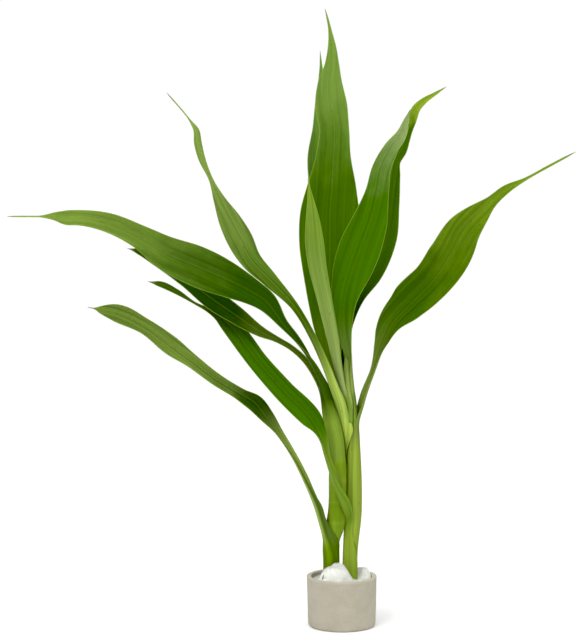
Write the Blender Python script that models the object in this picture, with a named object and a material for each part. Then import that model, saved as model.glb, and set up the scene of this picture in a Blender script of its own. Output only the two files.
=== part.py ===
"""A potted lucky bamboo: two green shoots with eleven leaves, standing in white wool in a small clay pot.

Every leaf is one thin strip. Its base is curled round the stem as a sheath, its middle is a channelled
stalk, and its end is an almost flat blade. The strip is described by stations along its midrib.
"""

import math

import bpy
import bmesh
import numpy as np
from mathutils import Vector

MM = 0.001

# Driving dimensions of the pot, in millimetres
POT_RIM_DIAMETER = 30.0
POT_FOOT_DIAMETER = 29.0
POT_HEIGHT = 21.5
POT_WALL = 2.0
POT_FLOOR = 2.5
FOOT_CHAMFER = 1.2
RIM_CHAMFER = 0.4
POT_SIDES = 48
MERGE_DISTANCE = 0.01
# Driving dimensions of the plant, in millimetres
BLADE_THICKNESS = 0.6
TIP_HALF_WIDTH = 0.35
TIP_HALF_ANGLE = 4.0
GAP = 0.3
STEM_SIDES = 16
RING_SPACING = 6.4
BLADE_STRIPS = 8
WAVE_LENGTH = 27.0
WAVE_HEIGHT = 0.45
WAVE_FROM_HALF_WIDTH = 2.5

# Driving dimensions of the wool, in millimetres
WOOL_LEVEL = 19.6
WOOL_RINGS = 9
WOOL_SECTORS = 36
WOOL_HOLE_HEIGHT = 28.0
WOOL_HOLE_SIDES = 28
LUMP_SHARPNESS = 2.0
WOOL_UNEVENNESS = 0.35
WOOL_FIRST_WAVE = (1.3, 0.6, 0.0)
WOOL_SECOND_WAVE = (-0.5, 1.1, 1.0)
CUTTER_LENGTH = 80.0
SHEATH_HALF_ANGLE = 140.0

# Finish of the surfaces
SHARP_EDGE_DEGREES = 40.0
POT_SHARP_EDGE_DEGREES = 30.0
LEAF_ROUGHNESS = 0.38
STEM_ROUGHNESS = 0.4
CLAY_ROUGHNESS = 0.85
WOOL_ROUGHNESS = 0.95

# The point that the photograph was taken from, seen from the middle of the pot's underside
EYE = Vector((-22.0, -900.0, 220.0))

# Stems, as x, y, z and radius in millimetres from the root end to the tip
STEM_LEFT = [
    (-4.9, -0.3, 2.8, 2.3),
    (-4.9, -0.3, 14.0, 2.4),
    (-4.8, -0.3, 30.0, 2.6),
    (-4.4, -0.2, 37.0, 2.5),
    (-3.7, -0.2, 42.0, 3.0),
    (-3.1, -0.3, 46.0, 3.1),
    (-2.7, -0.3, 51.0, 3.1),
    (-2.1, -0.3, 57.0, 3.5),
    (-2.0, -0.3, 63.0, 3.6),
    (-2.0, -0.3, 70.0, 3.6),
    (-2.3, -0.3, 75.5, 3.4),
    (-2.6, -0.3, 78.5, 3.2),
    (-2.8, -0.3, 80.5, 2.4),
    (-3.6, -0.3, 84.5, 2.4),
    (-4.5, -0.3, 88.8, 2.3),
    (-5.5, -0.3, 93.0, 1.9),
    (-6.2, -0.1, 96.5, 1.2),
]
STEM_RIGHT = [
    (3.8, 0.8, 2.8, 2.2),
    (3.8, 0.8, 14.0, 2.3),
    (3.9, 1.0, 30.0, 2.5),
    (4.4, 1.5, 41.0, 2.4),
    (4.9, 2.1, 47.0, 2.5),
    (5.1, 2.6, 51.5, 2.8),
    (5.2, 2.7, 54.5, 2.5),
    (5.2, 2.8, 57.0, 2.5),
    (5.1, 2.8, 63.0, 2.5),
    (4.8, 2.6, 72.0, 2.5),
    (4.2, 2.2, 80.0, 2.5),
    (3.7, 1.9, 85.0, 2.1),
    (3.4, 1.7, 87.0, 1.6),
    (2.9, 1.4, 94.0, 1.2),
    (2.5, 1.1, 99.5, 0.8),
]

# Leaves of the left shoot. A sheath line holds height, turn, half angle and layer round the stem.
# A blade line holds x and z where the line of sight meets the upright plane y = 0, the depth behind
# that plane, half the strip's width, the turn of its upper side and the half angle of its curl.
# A turn of 0 shows the upper side to the eye, and 180 shows the underside.
LEAF_LOWER_LEFT_SHEATH = [
    (14.0, 140, 126, 0),
    (26.0, 140, 126, 0),
    (31.0, 136, 118, 0.1),
    (34.5, 121, 98, 0.5),
    (38.0, 106, 80, 0.8),
]
LEAF_LOWER_LEFT = [
    (-9.8, 44.0, -2.2, 4.8, 98, 84),
    (-11.8, 51.5, -2.6, 4.4, 90, 86),
    (-15.6, 61.0, -3.4, 3.4, 80, 82),
    (-21.9, 74.0, -4.2, 2.9, 68, 70),
    (-27.5, 83.0, -5.5, 2.9, 52, 60),
    (-32.5, 90.0, -7.5, 3.6, 28, 50),
    (-37.0, 96.0, -9.5, 3.9, 0, 40),
    (-43.0, 100.0, -12.0, 3.1, -22, 35),
    (-53.0, 106.0, -16.0, 2.8, -14, 30),
    (-65.0, 115.0, -20.0, 3.1, 0, 25),
    (-72.0, 120.0, -22.0, 4.0, 5, 25),
    (-84.0, 129.0, -26.0, 3.4, 5, 25),
    (-97.0, 135.0, -30.0, 3.5, -5, 20),
    (-102.5, 136.0, -31.5, 1.6, 0, 15),
    (-105.0, 136.5, -32.0, 0.5, 0, 10),
    (-108.0, 137.0, -33.0, 0.4, 0, 5),
]
LEAF_LEFT_LONG_SHEATH = [
    (81.5, 170, 76, 0),
    (87.0, 170, 76, 0),
    (93.0, 164, 68, 0),
]
LEAF_LEFT_LONG = [
    (-7.9, 99.5, -2.8, 3.1, 148, 66),
    (-10.0, 106.5, -3.6, 2.8, 118, 76),
    (-12.6, 112.0, -4.8, 2.6, 102, 72),
    (-15.6, 117.0, -6.8, 2.5, 82, 68),
    (-20.0, 123.3, -9.6, 2.4, 52, 56),
    (-25.0, 129.5, -12.0, 2.4, 25, 45),
    (-33.0, 140.0, -18.0, 4.7, 0, 35),
    (-39.5, 144.2, -21.5, 5.8, 0, 32),
    (-46.5, 147.7, -25.0, 7.1, 0, 30),
    (-62.0, 154.6, -33.0, 8.6, 0, 30),
    (-74.5, 160.0, -39.0, 7.3, 0, 28),
    (-85.0, 166.5, -43.0, 5.1, 0, 25),
    (-99.5, 173.0, -49.0, 4.0, 0, 25),
    (-112.0, 175.0, -54.0, 3.1, 0, 20),
    (-117.0, 175.0, -55.5, 2.9, 0, 18),
    (-121.0, 175.5, -57.0, 1.8, 0, 14),
    (-126.0, 175.5, -59.0, 0.6, 0, 8),
    (-141.5, 175.5, -63.0, 0.4, 0, 5),
]
LEAF_LEFT_BACK_SHEATH = [
    (81.5, 26, 54, 0),
    (87.0, 26, 54, 0),
    (93.0, 26, 50, 0),
]
LEAF_LEFT_BACK = [
    (-9.8, 103.0, 4.0, 2.3, 46, 72),
    (-12.2, 108.0, 5.6, 2.1, 45, 70),
    (-16.6, 114.6, 8.2, 1.9, 40, 62),
    (-22.0, 119.6, 10.8, 1.6, 34, 50),
    (-28.5, 123.4, 13.2, 1.7, 28, 42),
    (-34.0, 126.0, 15.0, 2.5, 20, 35),
    (-46.5, 134.5, 21.0, 4.3, 8, 28),
    (-53.0, 139.0, 24.0, 4.8, 5, 28),
    (-66.0, 148.5, 30.0, 3.4, 5, 26),
    (-79.5, 157.0, 36.0, 2.1, 5, 22),
    (-87.0, 161.0, 39.0, 1.2, 5, 15),
    (-91.0, 162.0, 40.0, 0.4, 5, 5),
]

# Leaves of the right shoot
LEAF_LEFT_LOW_SHEATH = [
    (14.0, 118, 130, 0),
    (28.0, 122, 126, 0.1),
    (38.0, 130, 106, 0.3),
    (45.0, 148, 58, 0.8),
]
LEAF_LEFT_LOW = [
    (2.3, 49.5, -4.7, 2.6, 144, 52),
    (1.0, 53.5, -6.8, 2.7, 134, 56),
    (-2.0, 58.5, -7.8, 3.4, 100, 74),
    (-4.9, 65.4, -7.8, 3.4, 78, 76),
    (-7.4, 74.0, -6.4, 2.8, 64, 66),
    (-9.2, 80.5, -4.0, 3.1, 42, 54),
    (-13.7, 89.6, 2.6, 4.9, 5, 40),
    (-25.0, 101.5, 10.0, 4.8, 0, 32),
    (-35.5, 113.5, 17.0, 4.5, 0, 30),
    (-44.5, 125.5, 24.0, 4.4, 0, 28),
    (-48.5, 130.0, 27.0, 3.7, 0, 26),
    (-52.5, 133.5, 29.5, 2.3, 0, 24),
    (-57.0, 136.0, 31.0, 1.1, 0, 20),
    (-62.0, 138.5, 33.0, 0.6, 0, 10),
    (-70.0, 143.5, 36.0, 1.2, 0, 15),
    (-76.0, 146.5, 38.5, 1.4, 0, 15),
    (-82.5, 148.0, 41.0, 0.4, 0, 5),
]
LEAF_LEFT_UPPER_SHEATH = [
    (56.5, 102, 76, 0.1),
    (70.0, 104, 76, 0.1),
    (76.5, 108, 75, 0.2),
    (80.5, 112, 75, 0.3),
    (84.5, 118, 74, 0.8),
]
LEAF_LEFT_UPPER = [
    (-0.7, 89.5, -2.0, 3.6, 140, 78),
    (-1.6, 95.5, -4.2, 3.5, 150, 82),
    (-3.8, 102.0, -5.8, 2.8, 152, 74),
    (-7.5, 112.5, -7.2, 2.1, 158, 60),
    (-13.0, 125.0, -5.0, 1.7, 168, 50),
    (-20.0, 137.0, -0.5, 1.8, 176, 40),
    (-30.5, 148.5, 5.0, 3.4, 180, 34),
    (-39.0, 157.5, 10.0, 4.7, 180, 32),
    (-43.5, 166.0, 13.5, 5.8, 180, 32),
    (-48.0, 174.5, 17.0, 4.9, 180, 30),
    (-52.0, 182.5, 20.0, 2.7, 178, 26),
    (-55.5, 191.0, 24.0, 1.0, 172, 20),
    (-59.5, 200.5, 27.0, 1.6, 186, 20),
    (-61.0, 207.0, 29.0, 1.7, 186, 18),
    (-61.5, 211.5, 30.0, 1.3, 184, 15),
    (-64.0, 215.5, 31.5, 0.5, 180, 8),
    (-74.0, 227.5, 34.0, 0.4, 180, 5),
]
LEAF_SPEAR_SHEATH = [
    (88.0, 168, 26, 0),
    (93.0, 172, 24, 0),
]
LEAF_SPEAR = [
    (0.4, 101.5, -2.2, 1.7, 180, 62),
    (-1.2, 108.5, -4.0, 2.0, 180, 60),
    (-4.0, 123.5, -8.4, 2.9, 180, 56),
    (-7.5, 140.0, -12.5, 3.6, 180, 52),
    (-10.8, 156.0, -16.5, 4.3, 180, 48),
    (-11.8, 164.0, -18.4, 4.3, 180, 44),
    (-12.8, 175.5, -21.5, 2.8, 180, 38),
    (-13.6, 183.0, -23.2, 1.3, 180, 25),
    (-14.2, 188.0, -24.4, 0.5, 180, 12),
    (-14.5, 194.0, -26.0, 0.4, 180, 5),
]
LEAF_TOP_SHEATH = [
    (88.0, 78, 26, 0),
    (93.0, 80, 24, 0),
]
LEAF_TOP = [
    (-1.8, 101.5, 2.2, 2.1, 60, 58),
    (-3.8, 109.0, 2.6, 2.7, 30, 58),
    (-4.6, 117.0, 3.2, 4.4, 10, 56),
    (-5.4, 126.0, 4.4, 7.0, 0, 54),
    (-5.7, 137.0, 6.2, 9.4, 0, 46),
    (-5.5, 150.5, 8.8, 12.0, 0, 38),
    (-5.5, 165.0, 12.0, 13.6, 0, 30),
    (-5.4, 175.5, 14.3, 13.3, 0, 28),
    (-4.6, 188.0, 17.0, 10.8, 0, 26),
    (-4.0, 200.5, 19.4, 7.8, 0, 25),
    (-3.6, 212.0, 21.6, 6.6, 0, 24),
    (-5.0, 222.5, 23.4, 7.0, 0, 20),
    (-5.4, 230.0, 24.6, 5.7, 0, 20),
    (-4.6, 239.5, 26.0, 3.1, 0, 15),
    (-4.6, 246.0, 27.0, 1.9, 0, 12),
    (-5.6, 254.0, 28.4, 0.7, 0, 8),
    (-7.6, 262.5, 30.0, 0.4, 0, 5),
]
LEAF_TOP_BACK_SHEATH = [
    (88.0, 14, 26, 0),
    (93.0, 9, 24, 0),
]
LEAF_TOP_BACK = [
    (0.8, 101.0, 5.0, 1.35, 8, 42),
    (-0.6, 109.5, 6.0, 1.8, 12, 50),
    (-2.0, 119.0, 8.2, 2.4, 12, 48),
    (-3.8, 131.5, 12.0, 4.0, 10, 44),
    (-5.6, 147.0, 18.0, 6.8, 8, 38),
    (-6.8, 162.0, 24.6, 8.2, 5, 34),
    (-7.6, 175.0, 30.6, 8.0, 3, 30),
    (-8.4, 190.0, 37.4, 6.6, 0, 26),
    (-8.5, 199.0, 41.0, 6.9, 0, 26),
    (-8.2, 212.5, 46.0, 4.9, 0, 22),
    (-8.5, 226.5, 50.0, 3.0, 0, 16),
    (-9.0, 234.0, 52.0, 1.3, 0, 12),
    (-9.3, 240.0, 54.0, 0.5, 0, 8),
    (-9.6, 245.0, 55.5, 0.4, 0, 5),
]
LEAF_RIGHT_FRONT_SHEATH = [
    (88.0, -112, 26, 0),
    (93.0, -108, 24, 0),
]
LEAF_RIGHT_FRONT = [
    (4.8, 101.7, 0.2, 1.5, -98, 46),
    (4.4, 106.0, -0.2, 1.6, -92, 48),
    (4.1, 110.2, -0.6, 1.8, -84, 52),
    (3.7, 114.5, -1.4, 2.2, -64, 54),
    (2.9, 118.5, -2.2, 2.7, -44, 54),
    (1.2, 127.0, -2.8, 3.9, -20, 50),
    (1.0, 140.5, -3.6, 6.0, -5, 42),
    (4.5, 154.0, -5.2, 8.8, 0, 34),
    (7.3, 162.0, -6.8, 9.3, 0, 32),
    (11.5, 173.5, -9.8, 7.8, 0, 28),
    (14.5, 185.5, -13.0, 5.2, 0, 28),
    (16.5, 196.0, -16.0, 4.1, 0, 28),
    (20.3, 204.0, -18.8, 3.2, 0, 26),
    (24.9, 210.5, -21.4, 2.2, 0, 22),
    (26.9, 216.5, -23.6, 1.1, 0, 15),
    (28.3, 220.5, -25.0, 0.5, 0, 5),
]
LEAF_RIGHT_BACK_SHEATH = [
    (88.0, -48, 26, 0),
    (93.0, -46, 24, 0),
]
LEAF_RIGHT_BACK = [
    (3.9, 100.5, 3.8, 1.2, -38, 36),
    (3.3, 109.5, 4.2, 1.7, -36, 48),
    (2.5, 118.0, 4.9, 1.9, -30, 50),
    (2.2, 127.0, 6.2, 2.4, -24, 48),
    (5.0, 140.5, 9.6, 5.2, -16, 40),
    (11.5, 153.0, 14.5, 6.9, -8, 33),
    (16.4, 166.5, 20.0, 7.1, -4, 30),
    (18.6, 180.0, 25.2, 5.7, -2, 28),
    (20.3, 192.5, 30.0, 4.2, 0, 26),
    (21.6, 199.0, 32.6, 3.0, 0, 25),
    (24.4, 203.5, 34.4, 2.8, 0, 22),
    (27.4, 211.5, 37.2, 2.0, 0, 22),
    (30.8, 220.8, 40.4, 1.9, 0, 20),
    (34.0, 224.0, 42.2, 1.4, 0, 18),
    (38.4, 226.8, 44.0, 0.8, 0, 12),
    (43.5, 230.0, 46.0, 0.4, 0, 5),
]
LEAF_RIGHT_SHEATH = [
    (56.5, -90, 76, 0.1),
    (70.0, -90, 76, 0.1),
    (80.0, -84, 75, 0.1),
]
LEAF_RIGHT = [
    (7.1, 88.5, 2.4, 3.0, -74, 76),
    (8.6, 94.0, 1.9, 3.0, -68, 76),
    (10.2, 100.0, 1.0, 2.8, -64, 72),
    (13.8, 110.5, -1.2, 2.2, -58, 64),
    (16.9, 120.5, -4.4, 3.8, -46, 56),
    (21.0, 129.5, -7.8, 7.0, -38, 50),
    (29.0, 138.5, -12.4, 9.1, -26, 44),
    (39.0, 149.0, -18.2, 9.0, -12, 36),
    (45.5, 159.0, -23.6, 9.1, -4, 32),
    (51.2, 169.7, -28.5, 7.6, 0, 28),
    (57.7, 176.9, -33.0, 4.8, 0, 24),
    (62.5, 181.5, -36.0, 2.6, 0, 22),
    (69.0, 187.0, -39.5, 1.8, 0, 18),
    (76.5, 191.0, -42.5, 0.7, 0, 10),
    (87.0, 196.8, -47.0, 0.5, 0, 8),
    (98.0, 202.7, -51.0, 0.4, 0, 5),
]

# Lumps of the wool's top, as x, y, height above the level, and half width along x and along y
WOOL_LUMPS = [
    (-3.0, -6.8, 6.9, 6.8, 4.0),
    (-0.5, -2.0, 2.4, 5.0, 4.0),
    (9.0, 4.6, 4.0, 5.0, 4.8),
    (-1.0, 8.0, 2.2, 4.6, 4.6),
]

# Colours, as red, green and blue between 0 and 1
CLAY = (0.48, 0.43, 0.34)
WOOL_WHITE = (0.88, 0.88, 0.86)
STEM_GREEN = (0.26, 0.40, 0.06)
SHEATH_GREEN = (0.30, 0.45, 0.08)
LEAF_GREEN = (0.10, 0.25, 0.02)
LEAF_DARK = (0.06, 0.17, 0.01)


def clear_scene():
    """Remove every object that the file opens with."""
    for obj in list(bpy.data.objects):
        bpy.data.objects.remove(obj, do_unlink=True)


def material(name, colour, roughness):
    """A plain material with one colour."""
    made = bpy.data.materials.new(name)
    made.use_nodes = True
    shader = made.node_tree.nodes["Principled BSDF"]
    shader.inputs["Base Color"].default_value = (*colour, 1.0)
    shader.inputs["Roughness"].default_value = roughness
    shader.inputs["Metallic"].default_value = 0.0
    return made


def mesh_object(name, points, faces, colour, roughness):
    """An object from points in millimetres and a list of faces."""
    mesh = bpy.data.meshes.new(name)
    mesh.from_pydata([tuple(float(c) * MM for c in point) for point in points], [], faces)
    mesh.validate()
    mesh.shade_smooth()
    mesh.set_sharp_from_angle(angle=math.radians(SHARP_EDGE_DEGREES))
    mesh.materials.append(material(name, colour, roughness))
    obj = bpy.data.objects.new(name, mesh)
    bpy.context.scene.collection.objects.link(obj)
    return obj


def smooth_table(knots, rows, places):
    """A smooth curve through the rows of a table, read at the given places along its knots."""
    knots = np.asarray(knots, float)
    rows = np.asarray(rows, float)
    slopes = np.gradient(rows, knots, axis=0)
    left = np.clip(np.searchsorted(knots, places, side="right") - 1, 0, len(knots) - 2)
    step = (knots[left + 1] - knots[left])[:, None]
    t = (places[:, None] - knots[left][:, None]) / step
    start = (1 + 2 * t) * (1 - t) ** 2 * rows[left] + t * (1 - t) ** 2 * step * slopes[left]
    end = t ** 2 * (3 - 2 * t) * rows[left + 1] + t ** 2 * (t - 1) * step * slopes[left + 1]
    return start + end


def stem_at(stem, height):
    """Centre and radius of a stem at one height."""
    table = np.asarray(stem)
    heights = table[:, 2]
    x, y, radius = (float(np.interp(height, heights, table[:, i])) for i in (0, 1, 3))
    return x, y, radius


def along_sight(x, z, depth):
    """The point at a depth behind the plane y = 0 that the eye sees at x and z of that plane."""
    seen = Vector((x, 0.0, z))
    reach = (depth - EYE.y) / (seen.y - EYE.y)
    return EYE + (seen - EYE) * reach


def sheath_radius(stem_radius, half_angle, layer):
    """Middle radius of a sheath whose flat strips clear the stem, one blade and a gap to a layer."""
    clear = stem_radius + (GAP + BLADE_THICKNESS) * layer + GAP + BLADE_THICKNESS / 2
    return clear / math.cos(math.radians(half_angle) / BLADE_STRIPS)


def sheath_stations(stem, lines):
    """Stations of a strip that is curled round a stem."""
    made = []
    for height, turn, half_angle, layer in lines:
        x, y, radius = stem_at(stem, height)
        outer = sheath_radius(radius, half_angle, layer)
        angle = math.radians(turn)
        midrib = (x - outer * math.sin(angle), y + outer * math.cos(angle), height)
        made.append((*midrib, outer * math.radians(half_angle), turn, half_angle))
    return made


def blade_stations(lines):
    """Stations of the free part of a leaf, moved from the sighting plane to their own depth."""
    made = []
    for x, z, depth, half_width, turn, half_angle in lines:
        point = along_sight(x, z, depth)
        made.append((point.x, point.y, point.z, half_width, turn, half_angle))
    return made


def unit(vectors):
    """Vectors brought to length one."""
    return vectors / np.linalg.norm(vectors, axis=1)[:, None]


def leaf_grid(stations, ring_spacing, strips):
    """Middle points and upper-side normals of a strip, as grids of rings by points across.

    Across the strip a point runs along an arc of the half angle and the half width, with the midrib at
    its lowest place. The arc's axes are the strip's normal, turned about the midrib from the direction
    of the eye, and the width direction square to it. The margins rise and fall in a slow wave.
    """
    rows = np.asarray(stations, float)
    spans = np.linalg.norm(np.diff(rows[:, :3], axis=0), axis=1)
    knots = np.concatenate([[0.0], np.cumsum(spans)])
    count = int(round(knots[-1] / ring_spacing)) + 1
    places = np.linspace(0.0, knots[-1], count)
    table = smooth_table(knots, rows, places)
    middle = table[:, :3]
    half_width = np.maximum(table[:, 3], TIP_HALF_WIDTH)[:, None]
    turn = np.radians(table[:, 4])[:, None]
    half_angle = np.radians(np.maximum(table[:, 5], TIP_HALF_ANGLE))[:, None]
    tangent = unit(np.gradient(middle, places, axis=0))
    sight = unit(np.array(EYE)[None, :] - middle)
    facing = unit(sight - tangent * np.sum(sight * tangent, axis=1)[:, None])
    right = np.cross(tangent, facing)
    normal = np.cos(turn) * facing + np.sin(turn) * right
    width = np.cross(tangent, normal)
    across = np.linspace(-1.0, 1.0, strips + 1)[None, :]
    bend = across * half_angle
    radius = half_width / half_angle
    wide = np.clip(half_width / WAVE_FROM_HALF_WIDTH - 1.0, 0.0, 1.0)
    wave = np.sin(2 * math.pi * places[:, None] / WAVE_LENGTH + across * math.pi / 2)
    lift = radius * (1 - np.cos(bend)) + WAVE_HEIGHT * wide * across ** 2 * wave
    sideways = radius * np.sin(bend)
    across_axis = width[:, None, :]
    up_axis = normal[:, None, :]
    points = middle[:, None, :] + sideways[:, :, None] * across_axis + lift[:, :, None] * up_axis
    inward = np.cos(bend)[:, :, None] * up_axis - np.sin(bend)[:, :, None] * across_axis
    return points, inward


def strip_solid(points, inward):
    """Points and triangles of a closed strip of even thickness, split alike on both faces."""
    rings, across = points.shape[:2]
    upper = points + inward * BLADE_THICKNESS / 2
    lower = points - inward * BLADE_THICKNESS / 2
    corners = np.concatenate([upper.reshape(-1, 3), lower.reshape(-1, 3)])
    shift = rings * across
    faces = []
    for i in range(rings - 1):
        for j in range(across - 1):
            a, b = i * across + j, i * across + j + 1
            c, d = b + across, a + across
            faces += [(a, b, c), (a, c, d)]
            faces += [(b + shift, a + shift, c + shift), (c + shift, a + shift, d + shift)]
    rim = [i * across for i in range(rings)]
    rim += [(rings - 1) * across + j for j in range(1, across)]
    rim += [i * across + across - 1 for i in range(rings - 2, -1, -1)]
    rim += [j for j in range(across - 2, 0, -1)]
    for start, end in zip(rim, rim[1:] + rim[:1]):
        faces += [(start, end, end + shift), (start, end + shift, start + shift)]
    return corners, faces


def leaf(name, stem, sheath, blade, colour):
    """One leaf, from its sheath on the stem to its thread-like tip."""
    stations = sheath_stations(stem, sheath) + blade_stations(blade)
    points, inward = leaf_grid(stations, RING_SPACING, BLADE_STRIPS)
    corners, faces = strip_solid(points, inward)
    return mesh_object(name, corners, faces, colour, LEAF_ROUGHNESS)


def stem(name, table):
    """A stem as a loft of level rings with closed ends."""
    points = []
    faces = []
    for x, y, z, radius in table:
        for side in range(STEM_SIDES):
            angle = 2 * math.pi * side / STEM_SIDES
            points.append((x + radius * math.cos(angle), y + radius * math.sin(angle), z))
    for ring in range(len(table) - 1):
        for side in range(STEM_SIDES):
            a = ring * STEM_SIDES + side
            b = ring * STEM_SIDES + (side + 1) % STEM_SIDES
            faces.append((a, b, b + STEM_SIDES, a + STEM_SIDES))
    faces.append(tuple(reversed(range(STEM_SIDES))))
    faces.append(tuple(range(len(points) - STEM_SIDES, len(points))))
    return mesh_object(name, points, faces, STEM_GREEN, STEM_ROUGHNESS)


def pot():
    """The pot, turned from its profile round the upright axis."""
    rim = POT_RIM_DIAMETER / 2
    foot = POT_FOOT_DIAMETER / 2
    inside_rim = rim - POT_WALL
    inside_foot = foot - POT_WALL
    profile = [
        (0.0, 0.0),
        (foot - FOOT_CHAMFER, 0.0),
        (foot, FOOT_CHAMFER),
        (rim, POT_HEIGHT - RIM_CHAMFER),
        (rim - RIM_CHAMFER, POT_HEIGHT),
        (inside_rim + RIM_CHAMFER, POT_HEIGHT),
        (inside_rim, POT_HEIGHT - RIM_CHAMFER),
        (inside_foot, POT_FLOOR),
        (0.0, POT_FLOOR),
    ]
    bm = bmesh.new()
    line = [bm.verts.new((r * MM, 0.0, z * MM)) for r, z in profile]
    edges = [bm.edges.new(pair) for pair in zip(line, line[1:])]
    bmesh.ops.spin(bm, geom=line + edges, cent=(0, 0, 0), axis=(0, 0, 1), angle=2 * math.pi,
                   steps=POT_SIDES, use_merge=True)
    bmesh.ops.remove_doubles(bm, verts=bm.verts, dist=MERGE_DISTANCE * MM)
    bmesh.ops.recalc_face_normals(bm, faces=bm.faces)
    mesh = bpy.data.meshes.new("pot")
    bm.to_mesh(mesh)
    bm.free()
    mesh.shade_smooth()
    mesh.set_sharp_from_angle(angle=math.radians(POT_SHARP_EDGE_DEGREES))
    mesh.materials.append(material("pot", CLAY, CLAY_ROUGHNESS))
    obj = bpy.data.objects.new("pot", mesh)
    bpy.context.scene.collection.objects.link(obj)
    return obj


def pot_inside(height):
    """Radius of the pot's inside at one height."""
    rise = (height - POT_FLOOR) / (POT_HEIGHT - POT_FLOOR)
    return (POT_FOOT_DIAMETER + (POT_RIM_DIAMETER - POT_FOOT_DIAMETER) * rise) / 2 - POT_WALL


def wool_top(x, y):
    """Height of the wool's top: a level with round lumps and a fine unevenness."""
    height = WOOL_LEVEL
    for at_x, at_y, rise, wide, deep in WOOL_LUMPS:
        apart = ((x - at_x) / wide) ** 2 + ((y - at_y) / deep) ** 2
        height += rise * math.exp(-apart ** LUMP_SHARPNESS)
    unevenness = WOOL_UNEVENNESS
    for along_x, along_y, start in (WOOL_FIRST_WAVE, WOOL_SECOND_WAVE):
        unevenness *= math.sin(along_x * x + along_y * y + start)
    return height + unevenness


def wool_hole(name, stem_table):
    """A plain upright cutter for the place where a stem and its sheath stand in the wool."""
    x, y, radius = stem_at(stem_table, WOOL_HOLE_HEIGHT)
    outer = sheath_radius(radius, SHEATH_HALF_ANGLE, 0) + BLADE_THICKNESS / 2 + GAP
    bm = bmesh.new()
    bmesh.ops.create_cone(bm, cap_ends=True, segments=WOOL_HOLE_SIDES, radius1=outer * MM,
                          radius2=outer * MM, depth=CUTTER_LENGTH * MM)
    mesh = bpy.data.meshes.new(name)
    bm.to_mesh(mesh)
    bm.free()
    cutter = bpy.data.objects.new(name, mesh)
    cutter.location = (x * MM, y * MM, WOOL_LEVEL * MM)
    cutter.hide_render = True
    cutter.display_type = "WIRE"
    bpy.context.scene.collection.objects.link(cutter)
    return cutter


def wool():
    """The wool that fills the pot, with a lumpy top and a plain hole for each stem."""
    base = POT_FLOOR + GAP
    foot_radius = pot_inside(base) - GAP
    top_radius = pot_inside(WOOL_LEVEL) - GAP
    points = [(0.0, 0.0, wool_top(0.0, 0.0))]
    for ring in range(1, WOOL_RINGS + 1):
        radius = top_radius * ring / WOOL_RINGS
        for sector in range(WOOL_SECTORS):
            angle = 2 * math.pi * sector / WOOL_SECTORS
            x, y = radius * math.cos(angle), radius * math.sin(angle)
            points.append((x, y, wool_top(x, y)))
    foot_start = len(points)
    for sector in range(WOOL_SECTORS):
        angle = 2 * math.pi * sector / WOOL_SECTORS
        points.append((foot_radius * math.cos(angle), foot_radius * math.sin(angle), base))
    faces = []
    for sector in range(WOOL_SECTORS):
        after = (sector + 1) % WOOL_SECTORS
        faces.append((0, 1 + sector, 1 + after))
        for ring in range(WOOL_RINGS):
            a = 1 + ring * WOOL_SECTORS + sector
            b = 1 + ring * WOOL_SECTORS + after
            faces += [(a, a + WOOL_SECTORS, b + WOOL_SECTORS), (a, b + WOOL_SECTORS, b)]
    faces.append(tuple(reversed(range(foot_start, foot_start + WOOL_SECTORS))))
    made = mesh_object("wool", points, faces, WOOL_WHITE, WOOL_ROUGHNESS)
    for name, table in (("hole_left", STEM_LEFT), ("hole_right", STEM_RIGHT)):
        cut = made.modifiers.new(name, "BOOLEAN")
        cut.operation = "DIFFERENCE"
        cut.solver = "EXACT"
        cut.object = wool_hole(name, table)
    return made


def build():
    """The whole plant in its pot."""
    clear_scene()
    pot()
    wool()
    stem("stem_left", STEM_LEFT)
    stem("stem_right", STEM_RIGHT)
    leaf("leaf_lower_left", STEM_LEFT, LEAF_LOWER_LEFT_SHEATH, LEAF_LOWER_LEFT, LEAF_GREEN)
    leaf("leaf_left_long", STEM_LEFT, LEAF_LEFT_LONG_SHEATH, LEAF_LEFT_LONG, LEAF_GREEN)
    leaf("leaf_left_back", STEM_LEFT, LEAF_LEFT_BACK_SHEATH, LEAF_LEFT_BACK, LEAF_DARK)
    leaf("leaf_left_low", STEM_RIGHT, LEAF_LEFT_LOW_SHEATH, LEAF_LEFT_LOW, LEAF_DARK)
    leaf("leaf_left_upper", STEM_RIGHT, LEAF_LEFT_UPPER_SHEATH, LEAF_LEFT_UPPER, SHEATH_GREEN)
    leaf("leaf_spear", STEM_RIGHT, LEAF_SPEAR_SHEATH, LEAF_SPEAR, SHEATH_GREEN)
    leaf("leaf_top", STEM_RIGHT, LEAF_TOP_SHEATH, LEAF_TOP, LEAF_GREEN)
    leaf("leaf_top_back", STEM_RIGHT, LEAF_TOP_BACK_SHEATH, LEAF_TOP_BACK, LEAF_DARK)
    leaf("leaf_right_front", STEM_RIGHT, LEAF_RIGHT_FRONT_SHEATH, LEAF_RIGHT_FRONT, LEAF_GREEN)
    leaf("leaf_right_back", STEM_RIGHT, LEAF_RIGHT_BACK_SHEATH, LEAF_RIGHT_BACK, LEAF_DARK)
    leaf("leaf_right", STEM_RIGHT, LEAF_RIGHT_SHEATH, LEAF_RIGHT, LEAF_GREEN)


build()
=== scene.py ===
import math

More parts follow.
